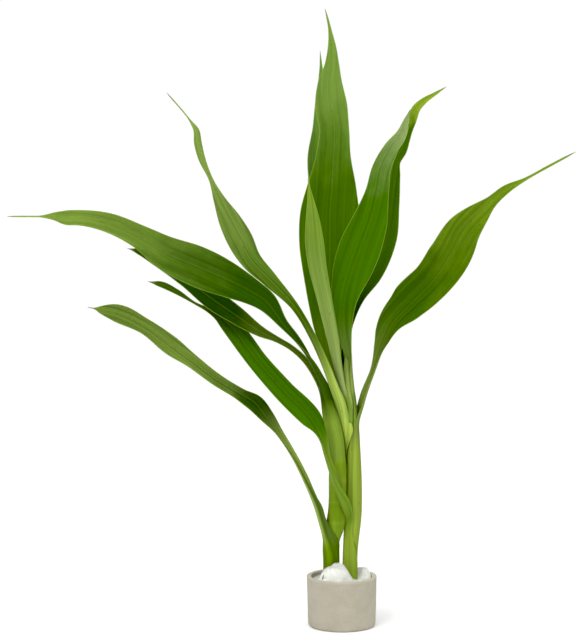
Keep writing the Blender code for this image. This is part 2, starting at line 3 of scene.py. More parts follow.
import bpy
import numpy as np
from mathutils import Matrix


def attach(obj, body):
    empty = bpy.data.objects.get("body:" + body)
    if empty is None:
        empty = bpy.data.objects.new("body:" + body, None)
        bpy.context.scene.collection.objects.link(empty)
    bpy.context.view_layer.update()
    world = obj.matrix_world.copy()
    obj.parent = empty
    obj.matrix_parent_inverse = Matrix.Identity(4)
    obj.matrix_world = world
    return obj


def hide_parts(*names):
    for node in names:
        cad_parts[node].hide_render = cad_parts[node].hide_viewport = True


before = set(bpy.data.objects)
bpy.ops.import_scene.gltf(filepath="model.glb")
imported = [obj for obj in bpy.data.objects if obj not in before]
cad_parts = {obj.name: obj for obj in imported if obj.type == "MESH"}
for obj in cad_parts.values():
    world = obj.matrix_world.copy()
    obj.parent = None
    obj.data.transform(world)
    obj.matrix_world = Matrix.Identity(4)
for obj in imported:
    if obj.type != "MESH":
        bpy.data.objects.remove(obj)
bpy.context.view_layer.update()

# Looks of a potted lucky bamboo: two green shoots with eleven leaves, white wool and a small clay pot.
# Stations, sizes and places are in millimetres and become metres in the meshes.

MM = 0.001
BODY = "root"

# The point that the photograph was taken from, in millimetres, its lens, and what it sees in metres
EYE = np.array([-22.0, -900.0, 220.0])
CAMERA_TILT = 5.61
LENS = 120.0
FILM_HEIGHT = 36.0
CAMERA_SEES = (0.01, 50.0)
BLACK_LEVEL = 0.008

# Studio, in metres and strengths
FLOOR_REACH = 6.0
FLOOR_PAINTED = 0.35
FLOOR_GLOWING = 1.1
FLOOR_PAINT = (0.94, 0.94, 0.94, 1.0)
FLOOR_ROUGHNESS = 0.9
WHITE = (1.0, 1.0, 1.0, 1.0)
BLACK = (0.0, 0.0, 0.0, 1.0)
WHITE_GLOW = 1.02
# The light from all around, as the range of how far up it comes from and its strengths there
WORLD_GLOW = (0.0, 0.9, 0.06, 1.15)
# Lamps, as name, place and target in metres, side in metres, and watts
LAMPS = [
    ("key_light", (-0.55, -0.75, 0.95), (-0.02, 0.0, 0.12), 0.7, 8.5),
    ("fill_light", (0.8, -0.6, 0.5), (0.0, 0.0, 0.12), 0.7, 3.0),
    ("back_light", (0.1, 0.9, 0.9), (0.0, 0.0, 0.12), 0.8, 1.5),
]

# Pot
POT_RIM_DIAMETER = 30.0
POT_FOOT_DIAMETER = 29.0
POT_HEIGHT = 21.5
POT_WALL = 2.0
POT_FLOOR = 2.5
FOOT_ROUND = 1.1
RIM_ROUND = 0.3
RIM_WEAR = 0.45
POT_SECTORS = 240
WALL_STEPS = 30
FOOT_STEPS = 9
RIM_STEPS = 7
FLAT_STEPS = 8
CENTRE_RING = 0.8
FOOT_MARGIN = 0.2
FLOOR_MARGIN = 0.4
# Waves of the wall, as height, waves round the pot, start, and turn for each millimetre up
WALL_WAVES = [
    (0.05, 3, 0.7, 0.2),
    (0.035, 7, 0.0, -0.35),
    (0.02, 17, 0.0, 1.0),
]
# The waves are full at this radius and fade to nothing at half of it
WAVES_FULL_FROM = 12.0
# The rim's own rise and fall, as height, waves round the pot and start
RIM_WAVE = (0.04, 5, 1.0)
# Chips of the rim, as angle, depth, half width as an angle, and half height
POT_CHIPS = [
    (2.62, 0.30, 0.05, 0.8),
    (3.55, 0.22, 0.04, 0.6),
    (4.40, 0.16, 0.06, 0.5),
    (5.30, 0.25, 0.05, 0.7),
    (0.60, 0.25, 0.06, 0.8),
    (1.50, 0.20, 0.05, 0.6),
]
# What a chip takes from the wall and from the height, and how fast it ends the wear, for its depth
CHIP_SIDEWAYS = 0.6
CHIP_DOWN = 0.5
CHIP_FRESH = 3.0

# Leaves
RING_SPACING = 1.0
STRIPS = 36
# The share of the strips' places across that is even; the rest crowds them towards the margins
EVEN_SHARE = 0.65
TIP_HALF_WIDTH = 0.3
TIP_HALF_ANGLE = 4.0
STEM_CLEARANCE = 0.6
LAYER_STEP = 0.9
MIDRIB_THICKNESS = 0.55
MARGIN_THICKNESS = 0.16
TIP_THICKNESS = 0.25
# A tip narrows over its taper by a power of what is left of it, and ends at a share of it
TIP_TAPER = 5.0
TIP_POWER = 0.6
TIP_END = 0.04
GROOVE_DEPTH = 0.14
GROOVE_WIDTH = 0.9
GROOVE_FULL_FROM = 4.0
SHOULDER = 0.05
PLEAT_HEIGHT = 0.11
PLEATS = 3.0
WAVE_LENGTH = 27.0
WAVE_HEIGHT = 0.45
WAVE_FROM_HALF_WIDTH = 2.5
RIPPLE_LENGTH = 11.0
RIPPLE_HEIGHT = 0.16
RIPPLE_SHIFT = 2.2
# A ripple swells and fades over this length
SWELL_LENGTH = 61.0
SWELL_SHIFT = 3.0
# How far before and after the sheath's end its colour passes into the stalk's
SHEATH_FADE = 5.0
# A strip counts as opened by this value less its half angle's share of the stalk's
OPENED_BY = 1.6
STALK_HALF_ANGLE = 50.0

# Stems
STEM_SIDES = 40
STEM_RING_SPACING = 0.8
STEM_END = 0.6
NODE_SPACING = 9.0
NODE_RISE = 0.05
NODE_WIDTH = 0.7

# Wool
WOOL_LEVEL = 19.6
WOOL_RINGS = 70
WOOL_SECTORS = 200
WOOL_GAP = 0.3
WOOL_FOOT_SHARE = 0.97
EDGE_DROP = 0.9
EDGE_POWER = 12
LUMP_SHARPNESS = 2.0
PUFF_HEIGHT = 0.22
# Puffs, as height and two waves, each by its turn for each millimetre along x and along y, and its start
PUFFS = [
    (1.0, (2.1, 0.8, 0.5), (-0.9, 1.7, 1.0)),
    (0.5, (4.3, -1.9, 0.0), (1.3, 4.9, 2.0)),
    (0.25, (9.1, 3.7, 0.0), (-4.1, 8.3, 0.0)),
]
FIBRES = 2600
FIBRE_SEED = 11
FIBRE_POINTS = 7
FIBRE_CORNERS = 3
FIBRE_RADIUS = 0.028
FIBRE_TAPER = 0.6
FIBRE_LENGTH = (2.2, 6.0)
FIBRE_TURNING = 1.6
FIBRE_LIFT = (0.05, 0.55)
FIBRE_SINK = 0.02
FIBRE_MARGIN = 0.5
FIBRE_REACH = 0.97
# Dark spots of painted shade, for small hollows between the wool and the rim, as x and y
SHADE_SPOTS = [(-10.2, 6.4), (-8.2, -8.8)]
SHADE_SPOT_RADIUS = 0.45
SHADE_SPOT_RISE = 0.5

# Display colours of 0 to 255
RIB_COLOUR = (140, 168, 70)
MARGIN_COLOUR = (150, 176, 76)
SPECK_COLOUR = (40, 62, 12)
DRY_COLOUR = (132, 128, 100)
SKIN_COLOURS = ((100, 130, 18), (124, 150, 36))
STREAK_COLOUR = (84, 116, 16)
NODE_COLOUR = (150, 168, 70)
CROWN_COLOUR = (160, 178, 92)
CLAY_COLOURS = ((170, 164, 146), (180, 174, 158))
SAND_COLOUR = (146, 140, 122)
PIT_COLOUR = (120, 112, 96)
WORN_COLOUR = (182, 176, 160)
WOOL_COLOURS = ((236, 238, 232), (251, 251, 245))
WOOL_PAINTED_SHADE = (224, 226, 220)
SHADE_SPOT_COLOUR = (84, 80, 66)

# Noises, as waves for each metre along the three ways of their place, detail and roughness
VEINS = ((2300, 14, 1), 2, 0.6)
BANDS = ((520, 7, 1), 1, 0.5)
LEAF_CLOUDS = ((90, 45, 1), 3, 0.6)
SKIN_STREAKS = ((1500, 1500, 30), 2, 0.6)
SKIN_PATCHES = ((160, 160, 55), 2, 0.5)
CLAY_CLOUDS = ((130, 130, 170), 4, 0.6)
SAND = ((2600, 2600, 2600), 3, 0.7)
PITS = ((900, 900, 900), 1, 0.5)
STRANDS = ((1600, 700, 1600), 4, 0.7)
WOOL_CLOUDS = ((400, 400, 400), 3, 0.6)
SPECKS = (120, 50, 1)

# Masks, as the two values between which they turn and, where that isn't 0 and 1, what they turn from and to
CLOUD_MASK = (0.3, 0.7)
OPENED_MASK = (0.15, 0.75)
VEIN_MASK = (0.25, 0.75, -0.13, 0.13)
BAND_MASK = (0.3, 0.7, -0.12, 0.12)
SHADE_MASK = (-0.0026, -0.0012, 1.0, 0.0)
RIB_MASK = (0.00015, 0.0006, 0.1, 0.0)
MARGIN_MASK = (0.00008, 0.0004, 0.5, 0.0)
MARGIN_OPENED = (0.0, 0.8, 0.4, 1.0)
SPECK_MASK = (0.015, 0.04, 0.3, 0.0)
DRY_MASK = (0.975, 0.995, 0.0, 0.8)
SKIN_STREAK_MASK = (0.3, 0.75, 0.0, 0.35)
CROWN_MASK = (0.086, 0.098, 0.0, 0.8)
SAND_MASK = (0.3, 0.75, 0.0, 0.35)
PIT_MASK = (0.74, 0.8, 0.0, 0.5)
PIT_DEPTH = (0.7, 0.8, 0.0, 1.5)
WOOL_PAINTED_SHADE_MASK = (0.45, 0.8, 0.0, 0.3)
SHADE_SPOT_MASK = (0.2, 0.6, 0.0, 0.9)

# Shares of one look in another
CLOUD_REACH = 0.3
UNDER_SHARE = 0.6
VEIN_RELIEF = 0.6
NODE_SHARE = 0.2
WORN_SHARE = 0.7

# Roughness as a mask, and the strength and depth in metres of each relief
LEAF_ROUGHNESS = (0.3, 0.7, 0.34, 0.46)
UPPER_SMOOTHER = -0.03
SKIN_ROUGHNESS = (0.2, 0.8, 0.36, 0.48)
CLAY_ROUGHNESS = (0.3, 0.7, 0.78, 0.92)
WOOL_ROUGHNESS = (0.2, 0.8, 0.85, 1.0)
LEAF_RELIEF = (0.35, 0.0002)
SKIN_RELIEF = (0.3, 0.0002)
CLAY_RELIEF = (0.4, 0.0002)
WOOL_RELIEF = (0.5, 0.0003)
STEM_SHINE = 0.1
WOOL_SHEEN = 0.3

# Stems, as x, y, z and radius from the root end to the tip
STEM_LEFT = [
    (-4.8, -0.3, 2.8, 2.6),
    (-4.8, -0.3, 14, 2.7),
    (-4.7, -0.3, 26, 2.7),
    (-4.6, -0.3, 32, 2.9),
    (-4.2, -0.3, 37, 3.4),
    (-3.2, -0.3, 41.5, 4),
    (-2.5, -0.3, 46, 4),
    (-2.1, -0.3, 51, 3.8),
    (-1.9, -0.3, 63, 3.8),
    (-1.9, -0.3, 70, 3.7),
    (-2.2, -0.3, 75.5, 3.1),
    (-2.7, -0.3, 80.5, 2.8),
    (-3.6, -0.3, 84.5, 2.7),
    (-4.4, -0.3, 88.8, 2.8),
    (-5.3, -0.3, 93, 2.7),
    (-6.2, -0.1, 97, 2),
]
STEM_RIGHT = [
    (3.8, 0.8, 2.8, 2.4),
    (3.8, 0.8, 14, 2.6),
    (3.9, 1, 30, 2.9),
    (4.5, 1.5, 41, 2.7),
    (5, 2.1, 47, 2.9),
    (5.1, 2.6, 51.5, 2.9),
    (5.1, 2.7, 57, 3),
    (4.9, 2.6, 63, 3.05),
    (4.6, 2.5, 72, 3),
    (4.2, 2.2, 80, 2.7),
    (3.7, 1.9, 85, 2.6),
    (3.5, 1.7, 88.8, 2.5),
    (3.3, 1.5, 93, 2.3),
    (3, 1.3, 97.4, 2.1),
    (2.7, 1.1, 101.7, 2.1),
    (2.4, 0.9, 106, 1.9),
    (2.1, 0.7, 110.2, 1.6),
    (1.9, 0.6, 114.5, 1),
    (1.9, 0.6, 119, 0.6),
    (2, 0.7, 123, 0.3),
]

# A sheath line holds height, turn, half angle and layer round the stem.
# A blade line holds x and z where the line of sight meets the upright plane y = 0, the depth behind
# that plane, half the strip's width, the turn of its upper side and the half angle of its curl.
# A turn of 0 shows the upper side to the eye, and 180 shows the underside.
LOWER_LEFT_SHEATH = [
    (14, 150, 126, 0),
    (26, 150, 126, 0),
    (31, 146, 124, 0),
    (34.5, 130, 114, 0.1),
    (38, 110, 100, 0.1),
]
LOWER_LEFT = [
    (-9.6, 44, -1.8, 5.4, 98, 92),
    (-11.8, 51.5, -2.6, 4.4, 90, 88),
    (-15.6, 61, -3.4, 3.4, 80, 82),
    (-21.9, 74, -4.2, 2.9, 68, 70),
    (-27.5, 83, -5.5, 2.9, 52, 60),
    (-32.5, 90, -7.5, 3.6, 28, 50),
    (-37, 96, -9.5, 3.9, 0, 40),
    (-43, 100, -12, 3.1, -22, 35),
    (-53, 106, -16, 2.8, -14, 30),
    (-65, 115, -20, 3.1, 0, 25),
    (-72, 120, -22, 4, 5, 25),
    (-84, 129, -26, 3.4, 5, 25),
    (-97, 135, -30, 3.5, -5, 20),
    (-102.5, 136, -31.5, 1.6, 0, 15),
    (-105, 136.5, -32, 0.5, 0, 10),
    (-108, 137, -33, 0.4, 0, 5),
]
LEFT_LONG_SHEATH = [
    (69, 172, 86, -1.15),
    (75.5, 172, 86, -0.4),
    (80.5, 172, 86, 0),
    (87, 172, 86, 0),
    (93, 172, 86, 0),
]
LEFT_LONG = [
    (-7.6, 99.5, -2.8, 3.9, 156, 84),
    (-10, 106.5, -3.6, 2.8, 118, 76),
    (-12.6, 112, -4.8, 2.6, 102, 72),
    (-15.6, 117, -6.8, 2.5, 82, 68),
    (-20, 123.3, -9.6, 2.4, 52, 56),
    (-25, 129.5, -12, 2.4, 25, 45),
    (-33, 140, -18, 4.7, 0, 35),
    (-39.5, 144.2, -21.5, 5.8, 0, 32),
    (-46.5, 147.7, -25, 7.1, 0, 30),
    (-62, 154.6, -33, 8.6, 0, 30),
    (-74.5, 160, -39, 7.3, 0, 28),
    (-85, 166.5, -43, 5.1, 0, 25),
    (-99.5, 173, -49, 4, 0, 25),
    (-112, 175, -54, 3.1, 0, 20),
    (-117, 175, -55.5, 2.9, 0, 18),
    (-121, 175.5, -57, 1.8, 0, 14),
    (-126, 175.5, -59, 0.6, 0, 8),
    (-141.5, 175.5, -63, 0.4, 0, 5),
]
LEFT_BACK_SHEATH = [
    (69, 28, 58, -1.15),
    (75.5, 28, 58, -0.4),
    (80.5, 28, 58, 0),
    (87, 28, 58, 0),
    (93, 28, 52, 0),
]
LEFT_BACK = [
    (-9.8, 103, 4, 2.3, 46, 72),
    (-12.2, 108, 5.6, 2.1, 45, 70),
    (-16.6, 114.6, 8.2, 1.9, 40, 62),
    (-22, 119.6, 10.8, 1.6, 34, 50),
    (-28.5, 123.4, 13.2, 1.7, 28, 42),
    (-34, 126, 15, 2.5, 20, 35),
    (-46.5, 134.5, 21, 4.3, 8, 28),
    (-53, 139, 24, 4.8, 5, 28),
    (-66, 148.5, 30, 3.4, 5, 26),
    (-79.5, 157, 36, 2.1, 5, 22),
    (-87, 161, 39, 1.2, 5, 15),
    (-91, 162, 40, 0.4, 5, 5),
]
LEFT_LOW_SHEATH = [
    (14, 118, 130, 0),
    (28, 116, 108, 0),
    (38, 112, 80, 0.15),
    (45, 114, 66, 0.4),
]
LEFT_LOW = [
    (-0.2, 52.5, -5.6, 4.1, 112, 84),
    (-2.2, 57.5, -6.8, 4.5, 92, 92),
    (-4.9, 65.4, -7.4, 3.6, 76, 80),
    (-7.4, 74, -6, 2.8, 64, 66),
    (-8.8, 80.5, -3.2, 3.1, 42, 54),
    (-13.2, 89.2, 3, 4.9, 5, 40),
    (-25, 101.5, 10, 4.8, 0, 32),
    (-35.5, 113.5, 17, 4.5, 0, 30),
    (-44.5, 125.5, 24, 4.4, 0, 28),
    (-48.5, 130, 27, 3.7, 0, 26),
    (-52.5, 133.5, 29.5, 2.3, 0, 24),
    (-57, 136, 31, 1.1, 0, 20),
    (-62, 138.5, 33, 0.6, 0, 10),
    (-70, 143.5, 36, 1.2, 0, 15),
    (-76, 146.5, 38.5, 1.4, 0, 15),
    (-82.5, 148, 41, 0.4, 0, 5),
]
LEFT_UPPER_SHEATH = [
    (45, 60, 36, -1.15),
    (51, 60, 36, -0.45),
    (57, 61, 37, 0),
    (70, 72, 46, 0),
    (76.5, 86, 56, 0.1),
    (80.5, 98, 64, 0.3),
    (84.5, 111, 73, 0.8),
]
LEFT_UPPER = [
    (-0.5, 89.5, -1.2, 3.8, 138, 84),
    (-1.6, 95.5, -4.2, 3.5, 150, 82),
    (-3.8, 102, -5.8, 2.8, 152, 74),
    (-7.5, 112.5, -7.2, 2.1, 158, 60),
    (-13, 125, -5, 1.7, 168, 50),
    (-20, 137, -0.5, 1.8, 176, 40),
    (-30.5, 148.5, 5, 3.4, 180, 34),
    (-39, 157.5, 10, 4.7, 180, 32),
    (-43.5, 166, 13.5, 5.8, 180, 32),
    (-48, 174.5, 17, 4.9, 180, 30),
    (-52, 182.5, 20, 2.7, 178, 26),
    (-55.5, 191, 24, 1, 172, 20),
    (-59.5, 200.5, 27, 1.6, 186, 20),
    (-61, 207, 29, 1.7, 186, 18),
    (-61.5, 211.5, 30, 1.3, 184, 15),
    (-64, 215.5, 31.5, 0.5, 180, 8),
    (-74, 227.5, 34, 0.4, 180, 5),
]
SPEAR_SHEATH = [
    (88, 168, 26, 0),
    (93, 172, 24, 0),
]
SPEAR = [
    (0.4, 101.5, -2.2, 1.7, 180, 62),
    (-1.2, 108.5, -4, 2, 180, 60),
    (-4, 123.5, -8.4, 2.9, 180, 56),
    (-7.5, 140, -12.5, 3.6, 180, 52),
    (-10.8, 156, -16.5, 4.3, 180, 48),
    (-11.8, 164, -18.4, 4.3, 180, 44),
    (-12.8, 175.5, -21.5, 2.8, 180, 38),
    (-13.6, 183, -23.2, 1.3, 180, 25),
    (-14.2, 188, -24.4, 0.5, 180, 12),
    (-14.5, 194, -26, 0.4, 180, 5),
]
TOP_SHEATH = [
    (88, 78, 26, 0),
    (93, 80, 24, 0),
]
TOP = [
    (-1.8, 101.5, 2.2, 2.1, 60, 58),
    (-3.8, 109, 2.6, 2.7, 30, 58),
    (-4.6, 117, 3.2, 4.4, 10, 56),
    (-5.4, 126, 4.4, 7, 0, 54),
    (-5.7, 137, 6.2, 9.4, 0, 46),
    (-5.5, 150.5, 8.8, 12, 0, 38),
    (-5.5, 165, 12, 13.6, 0, 30),
    (-5.4, 175.5, 14.3, 13.3, 0, 28),
    (-4.6, 188, 17, 10.8, 0, 26),
    (-4, 200.5, 19.4, 7.8, 0, 25),
    (-3.6, 212, 21.6, 6.6, 0, 24),
    (-5, 222.5, 23.4, 7, 0, 20),
    (-5.4, 230, 24.6, 5.7, 0, 20),
    (-4.6, 239.5, 26, 3.1, 0, 15),
    (-4.6, 246, 27, 1.9, 0, 12),
    (-5.6, 254, 28.4, 0.7, 0, 8),
    (-7.6, 262.5, 30, 0.4, 0, 5),
]
TOP_BACK_SHEATH = [
    (88, 14, 26, 0),
    (93, 9, 24, 0),
]
TOP_BACK = [
    (0.9, 101, 4.6, 1.8, 8, 54),
    (0.2, 109.5, 5.4, 2.4, 8, 54),
    (-0.9, 119, 7.4, 3.2, 10, 48),
    (-3.4, 131.5, 12, 4.2, 10, 44),
    (-5.6, 147, 18, 6.8, 8, 38),
    (-6.8, 162, 24.6, 8.2, 5, 34),
    (-7.6, 175, 30.6, 8, 3, 30),
    (-8.4, 190, 37.4, 6.6, 0, 26),
    (-8.5, 199, 41, 6.9, 0, 26),
    (-8.2, 212.5, 46, 4.9, 0, 22),
    (-8.5, 226.5, 50, 3, 0, 16),
    (-9, 234, 52, 1.3, 0, 12),
    (-9.3, 240, 54, 0.5, 0, 8),
    (-9.6, 245, 55.5, 0.4, 0, 5),
]
RIGHT_FRONT_SHEATH = [
    (85, -106, 44, -0.6),
    (88.8, -106, 42, -0.1),
    (93, -104, 38, 0),
    (97.4, -102, 36, 0),
]
RIGHT_FRONT = [
    (5, 101.7, 0.2, 2, -98, 58),
    (4.5, 106, -0.2, 2, -92, 58),
    (4.1, 110.2, -0.6, 2, -84, 56),
    (3.7, 114.5, -1.4, 2.3, -64, 55),
    (2.9, 118.5, -2.2, 2.7, -44, 54),
    (1.2, 127, -2.8, 3.9, -20, 50),
    (1, 140.5, -3.6, 6, -5, 42),
    (4.5, 154, -5.2, 8.8, 0, 34),
    (7.3, 162, -6.8, 9.3, 0, 32),
    (11.5, 173.5, -9.8, 7.8, 0, 28),
    (14.5, 185.5, -13, 5.2, 0, 28),
    (16.5, 196, -16, 4.1, 0, 28),
    (20.3, 204, -18.8, 3.2, 0, 26),
    (24.9, 210.5, -21.4, 2.2, 0, 22),
    (26.9, 216.5, -23.6, 1.1, 0, 15),
    (28.3, 220.5, -25, 0.5, 0, 5),
]
RIGHT_BACK_SHEATH = [
    (88, -48, 26, 0),
    (93, -46, 24, 0),
]
RIGHT_BACK = [
    (3.9, 100.5, 3.6, 1.8, -40, 54),
    (3.3, 109.5, 4, 1.9, -36, 54),
    (2.5, 118, 4.8, 2.2, -30, 50),
    (2.2, 127, 6.2, 2.7, -24, 48),
    (5, 140.5, 9.6, 5.2, -16, 40),
    (11.5, 153, 14.5, 6.9, -8, 33),
    (16.4, 166.5, 20, 7.1, -4, 30),
    (18.6, 180, 25.2, 5.7, -2, 28),
    (20.3, 192.5, 30, 4.2, 0, 26),
    (21.6, 199, 32.6, 3, 0, 25),
    (24.4, 203.5, 34.4, 2.8, 0, 22),
    (25.9, 207.5, 35.8, 2.4, 0, 22),
    (27.4, 211.5, 37.2, 2, 0, 22),
    (29, 216, 38.8, 2.1, 0, 20),
    (30.8, 220.8, 40.4, 1.9, 0, 20),
    (34, 224, 42.2, 1.4, 0, 18),
    (38.4, 226.8, 44, 0.8, 0, 12),
    (43.5, 230, 46, 0.4, 0, 5),
]
RIGHT_SHEATH = [
    (30, -104, 106, -1.15),
    (38, -112, 116, -0.5),
    (46, -116, 126, -0.2),
    (57, -117, 128, -0.2),
    (70, -111, 121, -0.2),
    (80, -95, 95, -0.1),
]
RIGHT = [
    (7.1, 88.5, 2.4, 3.2, -74, 78),
    (8.6, 94, 1.9, 3, -68, 76),
    (10.2, 100, 1, 2.8, -64, 72),
    (13.8, 110.5, -1.2, 2.2, -58, 64),
    (16.9, 120.5, -4.4, 3.8, -46, 56),
    (21, 129.5, -7.8, 7, -38, 50),
    (29, 138.5, -12.4, 9.1, -26, 44),
    (39, 149, -18.2, 9, -12, 36),
    (45.5, 159, -23.6, 9.1, -4, 32),
    (51.2, 169.7, -28.5, 7.6, 0, 28),
    (57.7, 176.9, -33, 4.8, 0, 24),
    (62.5, 181.5, -36, 2.6, 0, 22),
    (69, 187, -39.5, 1.8, 0, 18),
    (76.5, 191, -42.5, 0.7, 0, 10),
    (87, 196.8, -47, 0.5, 0, 8),
    (98, 202.7, -51, 0.4, 0, 5),
]

# Lumps of the wool's top, as x, y, height above the level, and half width along x and along y
WOOL_LUMPS = [
    (-3, -6.8, 6.9, 6.8, 4),
    (-0.5, -2, 2.4, 5, 4),
    (9, 4.6, 4, 5, 4.8),
    (-1, 8, 2.2, 4.6, 4.6),
]

# Leaves, in three rows each: name, stem, sheath, blade and ripple phase; the display colours of the
# deep part, the bright outer part, the underside, the stalk and the sheath; the shares of the length
# between which deep turns to bright, how far stalk and sheath are darkened by painted shade, shine and
# streak strength. The bright outer part is the leaf's own paler tone on most leaves, and painted light
# or painted shade on the leaves marked below.
LEAVES = [
    ("lower_left", STEM_LEFT, LOWER_LEFT_SHEATH, LOWER_LEFT, 0.4,
     (36, 66, 2), (102, 126, 50), (84, 110, 28), (136, 156, 72), (97, 126, 6),
     (0.48, 0.72), (0.8, 0.5), 0.03, 2.2),
    ("left_long", STEM_LEFT, LEFT_LONG_SHEATH, LEFT_LONG, 1.3,
     (46, 82, 1), (122, 150, 60), (112, 138, 60), (52, 80, 2), (118, 144, 50),
     (0.42, 0.95), (0, 0), 0.03, 1.2),
    # Painted shade: this leaf's outer blade is painted dark green, as the shade under the long left leaf.
    ("left_back", STEM_LEFT, LEFT_BACK_SHEATH, LEFT_BACK, 2.1,
     (74, 97, 26), (32, 61, 1), (72, 100, 24), (88, 112, 28), (112, 140, 30),
     (0.48, 0.63), (0, 0), 0.02, 1),
    # Painted shade: this leaf's outer part is painted darker than its deep part, as its shaded top.
    ("left_low", STEM_RIGHT, LEFT_LOW_SHEATH, LEFT_LOW, 3.7,
     (64, 108, 2), (54, 82, 8), (84, 110, 28), (114, 140, 44), (130, 152, 50),
     (0.6, 0.9), (0.3, 0.1), 0.04, 1.2),
    # Partly painted highlight: the pale outer colour of this leaf is its paler tip with a painted highlight
    # on it.
    ("left_upper", STEM_RIGHT, LEFT_UPPER_SHEATH, LEFT_UPPER, 0.9,
     (56, 90, 4), (160, 183, 98), (72, 102, 18), (148, 170, 74), (154, 172, 70),
     (0.42, 0.87), (0, 0), 0.05, 2),
    ("spear", STEM_RIGHT, SPEAR_SHEATH, SPEAR, 4.4,
     (98, 132, 44), (126, 158, 0), (120, 148, 56), (154, 170, 104), (160, 176, 96),
     (0.7, 1), (0, 0), 0.06, 1.3),
    ("top", STEM_RIGHT, TOP_SHEATH, TOP, 5.2,
     (64, 100, 1), (113, 143, 60), (112, 142, 58), (116, 146, 44), (130, 154, 50),
     (0.53, 0.87), (0, 0), 0.06, 1),
    ("top_back", STEM_RIGHT, TOP_BACK_SHEATH, TOP_BACK, 2.8,
     (54, 92, 4), (98, 132, 50), (100, 130, 50), (90, 120, 30), (120, 144, 40),
     (0.45, 0.9), (0, 0), 0.08, 1),
    # Painted highlight: the pale grey-green outer part of this leaf is a painted highlight.
    ("right_front", STEM_RIGHT, RIGHT_FRONT_SHEATH, RIGHT_FRONT, 1.7,
     (68, 111, 1), (140, 160, 98), (124, 150, 66), (156, 176, 96), (170, 186, 108),
     (0.7, 0.95), (0, 0), 0.02, 1),
    # Painted light: the bright yellow-green tip of this leaf is painted, as a tip that faces the light.
    ("right_back", STEM_RIGHT, RIGHT_BACK_SHEATH, RIGHT_BACK, 3.1,
     (58, 92, 2), (134, 160, 42), (100, 132, 36), (100, 128, 40), (150, 170, 84),
     (0.84, 0.93), (0, 0), 0.02, 1.2),
    ("right", STEM_RIGHT, RIGHT_SHEATH, RIGHT, 5.9,
     (56, 91, 1), (110, 140, 30), (110, 138, 56), (112, 130, 54), (138, 159, 58),
     (0.5, 0.92), (0, 0), 0.04, 1.4),
]


def linear(colour):
    """A display colour of 0 to 255 as the linear red, green, blue and alpha that materials hold."""
    shares = np.asarray(colour, float) / 255.0
    low = shares / 12.92
    high = ((shares + 0.055) / 1.055) ** 2.4
    return (*(float(c) for c in np.where(shares < 0.04045, low, high)), 1.0)


def put(tree, kind, inputs=None, **settings):
    """A node with its settings, whose inputs get values or links."""
    made = tree.nodes.new(kind)
    for name, value in settings.items():
        setattr(made, name, value)
    for name, value in (inputs or {}).items():
        if isinstance(value, bpy.types.NodeSocket):
            tree.links.new(value, made.inputs[name])
        else:
            made.inputs[name].default_value = value
    return made


def calculate(tree, operation, first, second=0.0):
    """The outcome of one sum on two values."""
    return put(tree, "ShaderNodeMath", {0: first, 1: second}, operation=operation).outputs[0]


def plus(tree, first, second):
    """The sum of two values."""
    return calculate(tree, "ADD", first, second)


def minus(tree, first, second):
    """One value less another."""
    return calculate(tree, "SUBTRACT", first, second)


def times(tree, first, second):
    """The product of two values."""
    return calculate(tree, "MULTIPLY", first, second)


def blend(tree, share, first, second, mode="MIX"):
    """Two colours mixed by a share."""
    made = put(tree, "ShaderNodeMix", data_type="RGBA", blend_type=mode, clamp_factor=True)
    for place, value in ((0, share), (6, first), (7, second)):
        if isinstance(value, bpy.types.NodeSocket):
            tree.links.new(value, made.inputs[place])
        else:
            made.inputs[place].default_value = value
    return made.outputs[2]


def spread(tree, value, low, high, to_low=0.0, to_high=1.0):
    """A value stretched smoothly from one range to another, and held at its ends."""
    ranges = {"Value": value, "From Min": low, "From Max": high, "To Min": to_low, "To Max": to_high}
    made = put(tree, "ShaderNodeMapRange", ranges, interpolation_type="SMOOTHSTEP", clamp=True)
    return made.outputs["Result"]


def grain(tree, vector, scale, detail, roughness):
    """Soft noise between 0 and 1 along a scaled vector."""
    mapped = put(tree, "ShaderNodeMapping", {"Vector": vector, "Scale": scale}).outputs["Vector"]
    values = {"Vector": mapped, "Scale": 1.0, "Detail": detail, "Roughness": roughness}
    return put(tree, "ShaderNodeTexNoise", values).outputs["Fac"]


def measure(tree, label, output="Fac"):
    """A piece's own attribute, as a value or as a vector."""
    return put(tree, "ShaderNodeAttribute", attribute_name=label).outputs[output]


def place_on(tree):
    """The place on the piece, in metres."""
    return put(tree, "ShaderNodeTexCoord").outputs["Object"]


def two_tones(tree, share, tones):
    """Two display colours mixed by the middle of a noise."""
    return blend(tree, spread(tree, share, *CLOUD_MASK), linear(tones[0]), linear(tones[1]))


def new_group(name, inputs, outputs):
    """An empty shader node group with the sockets named in two lists of name, kind and starting value."""
    group = bpy.data.node_groups.new(name, "ShaderNodeTree")
    for label, kind, start in inputs:
        socket = group.interface.new_socket(label, in_out="INPUT", socket_type=kind)
        socket.default_value = start
    for label, kind in outputs:
        group.interface.new_socket(label, in_out="OUTPUT", socket_type=kind)
    return group, group.nodes.new("NodeGroupInput").outputs, group.nodes.new("NodeGroupOutput").inputs


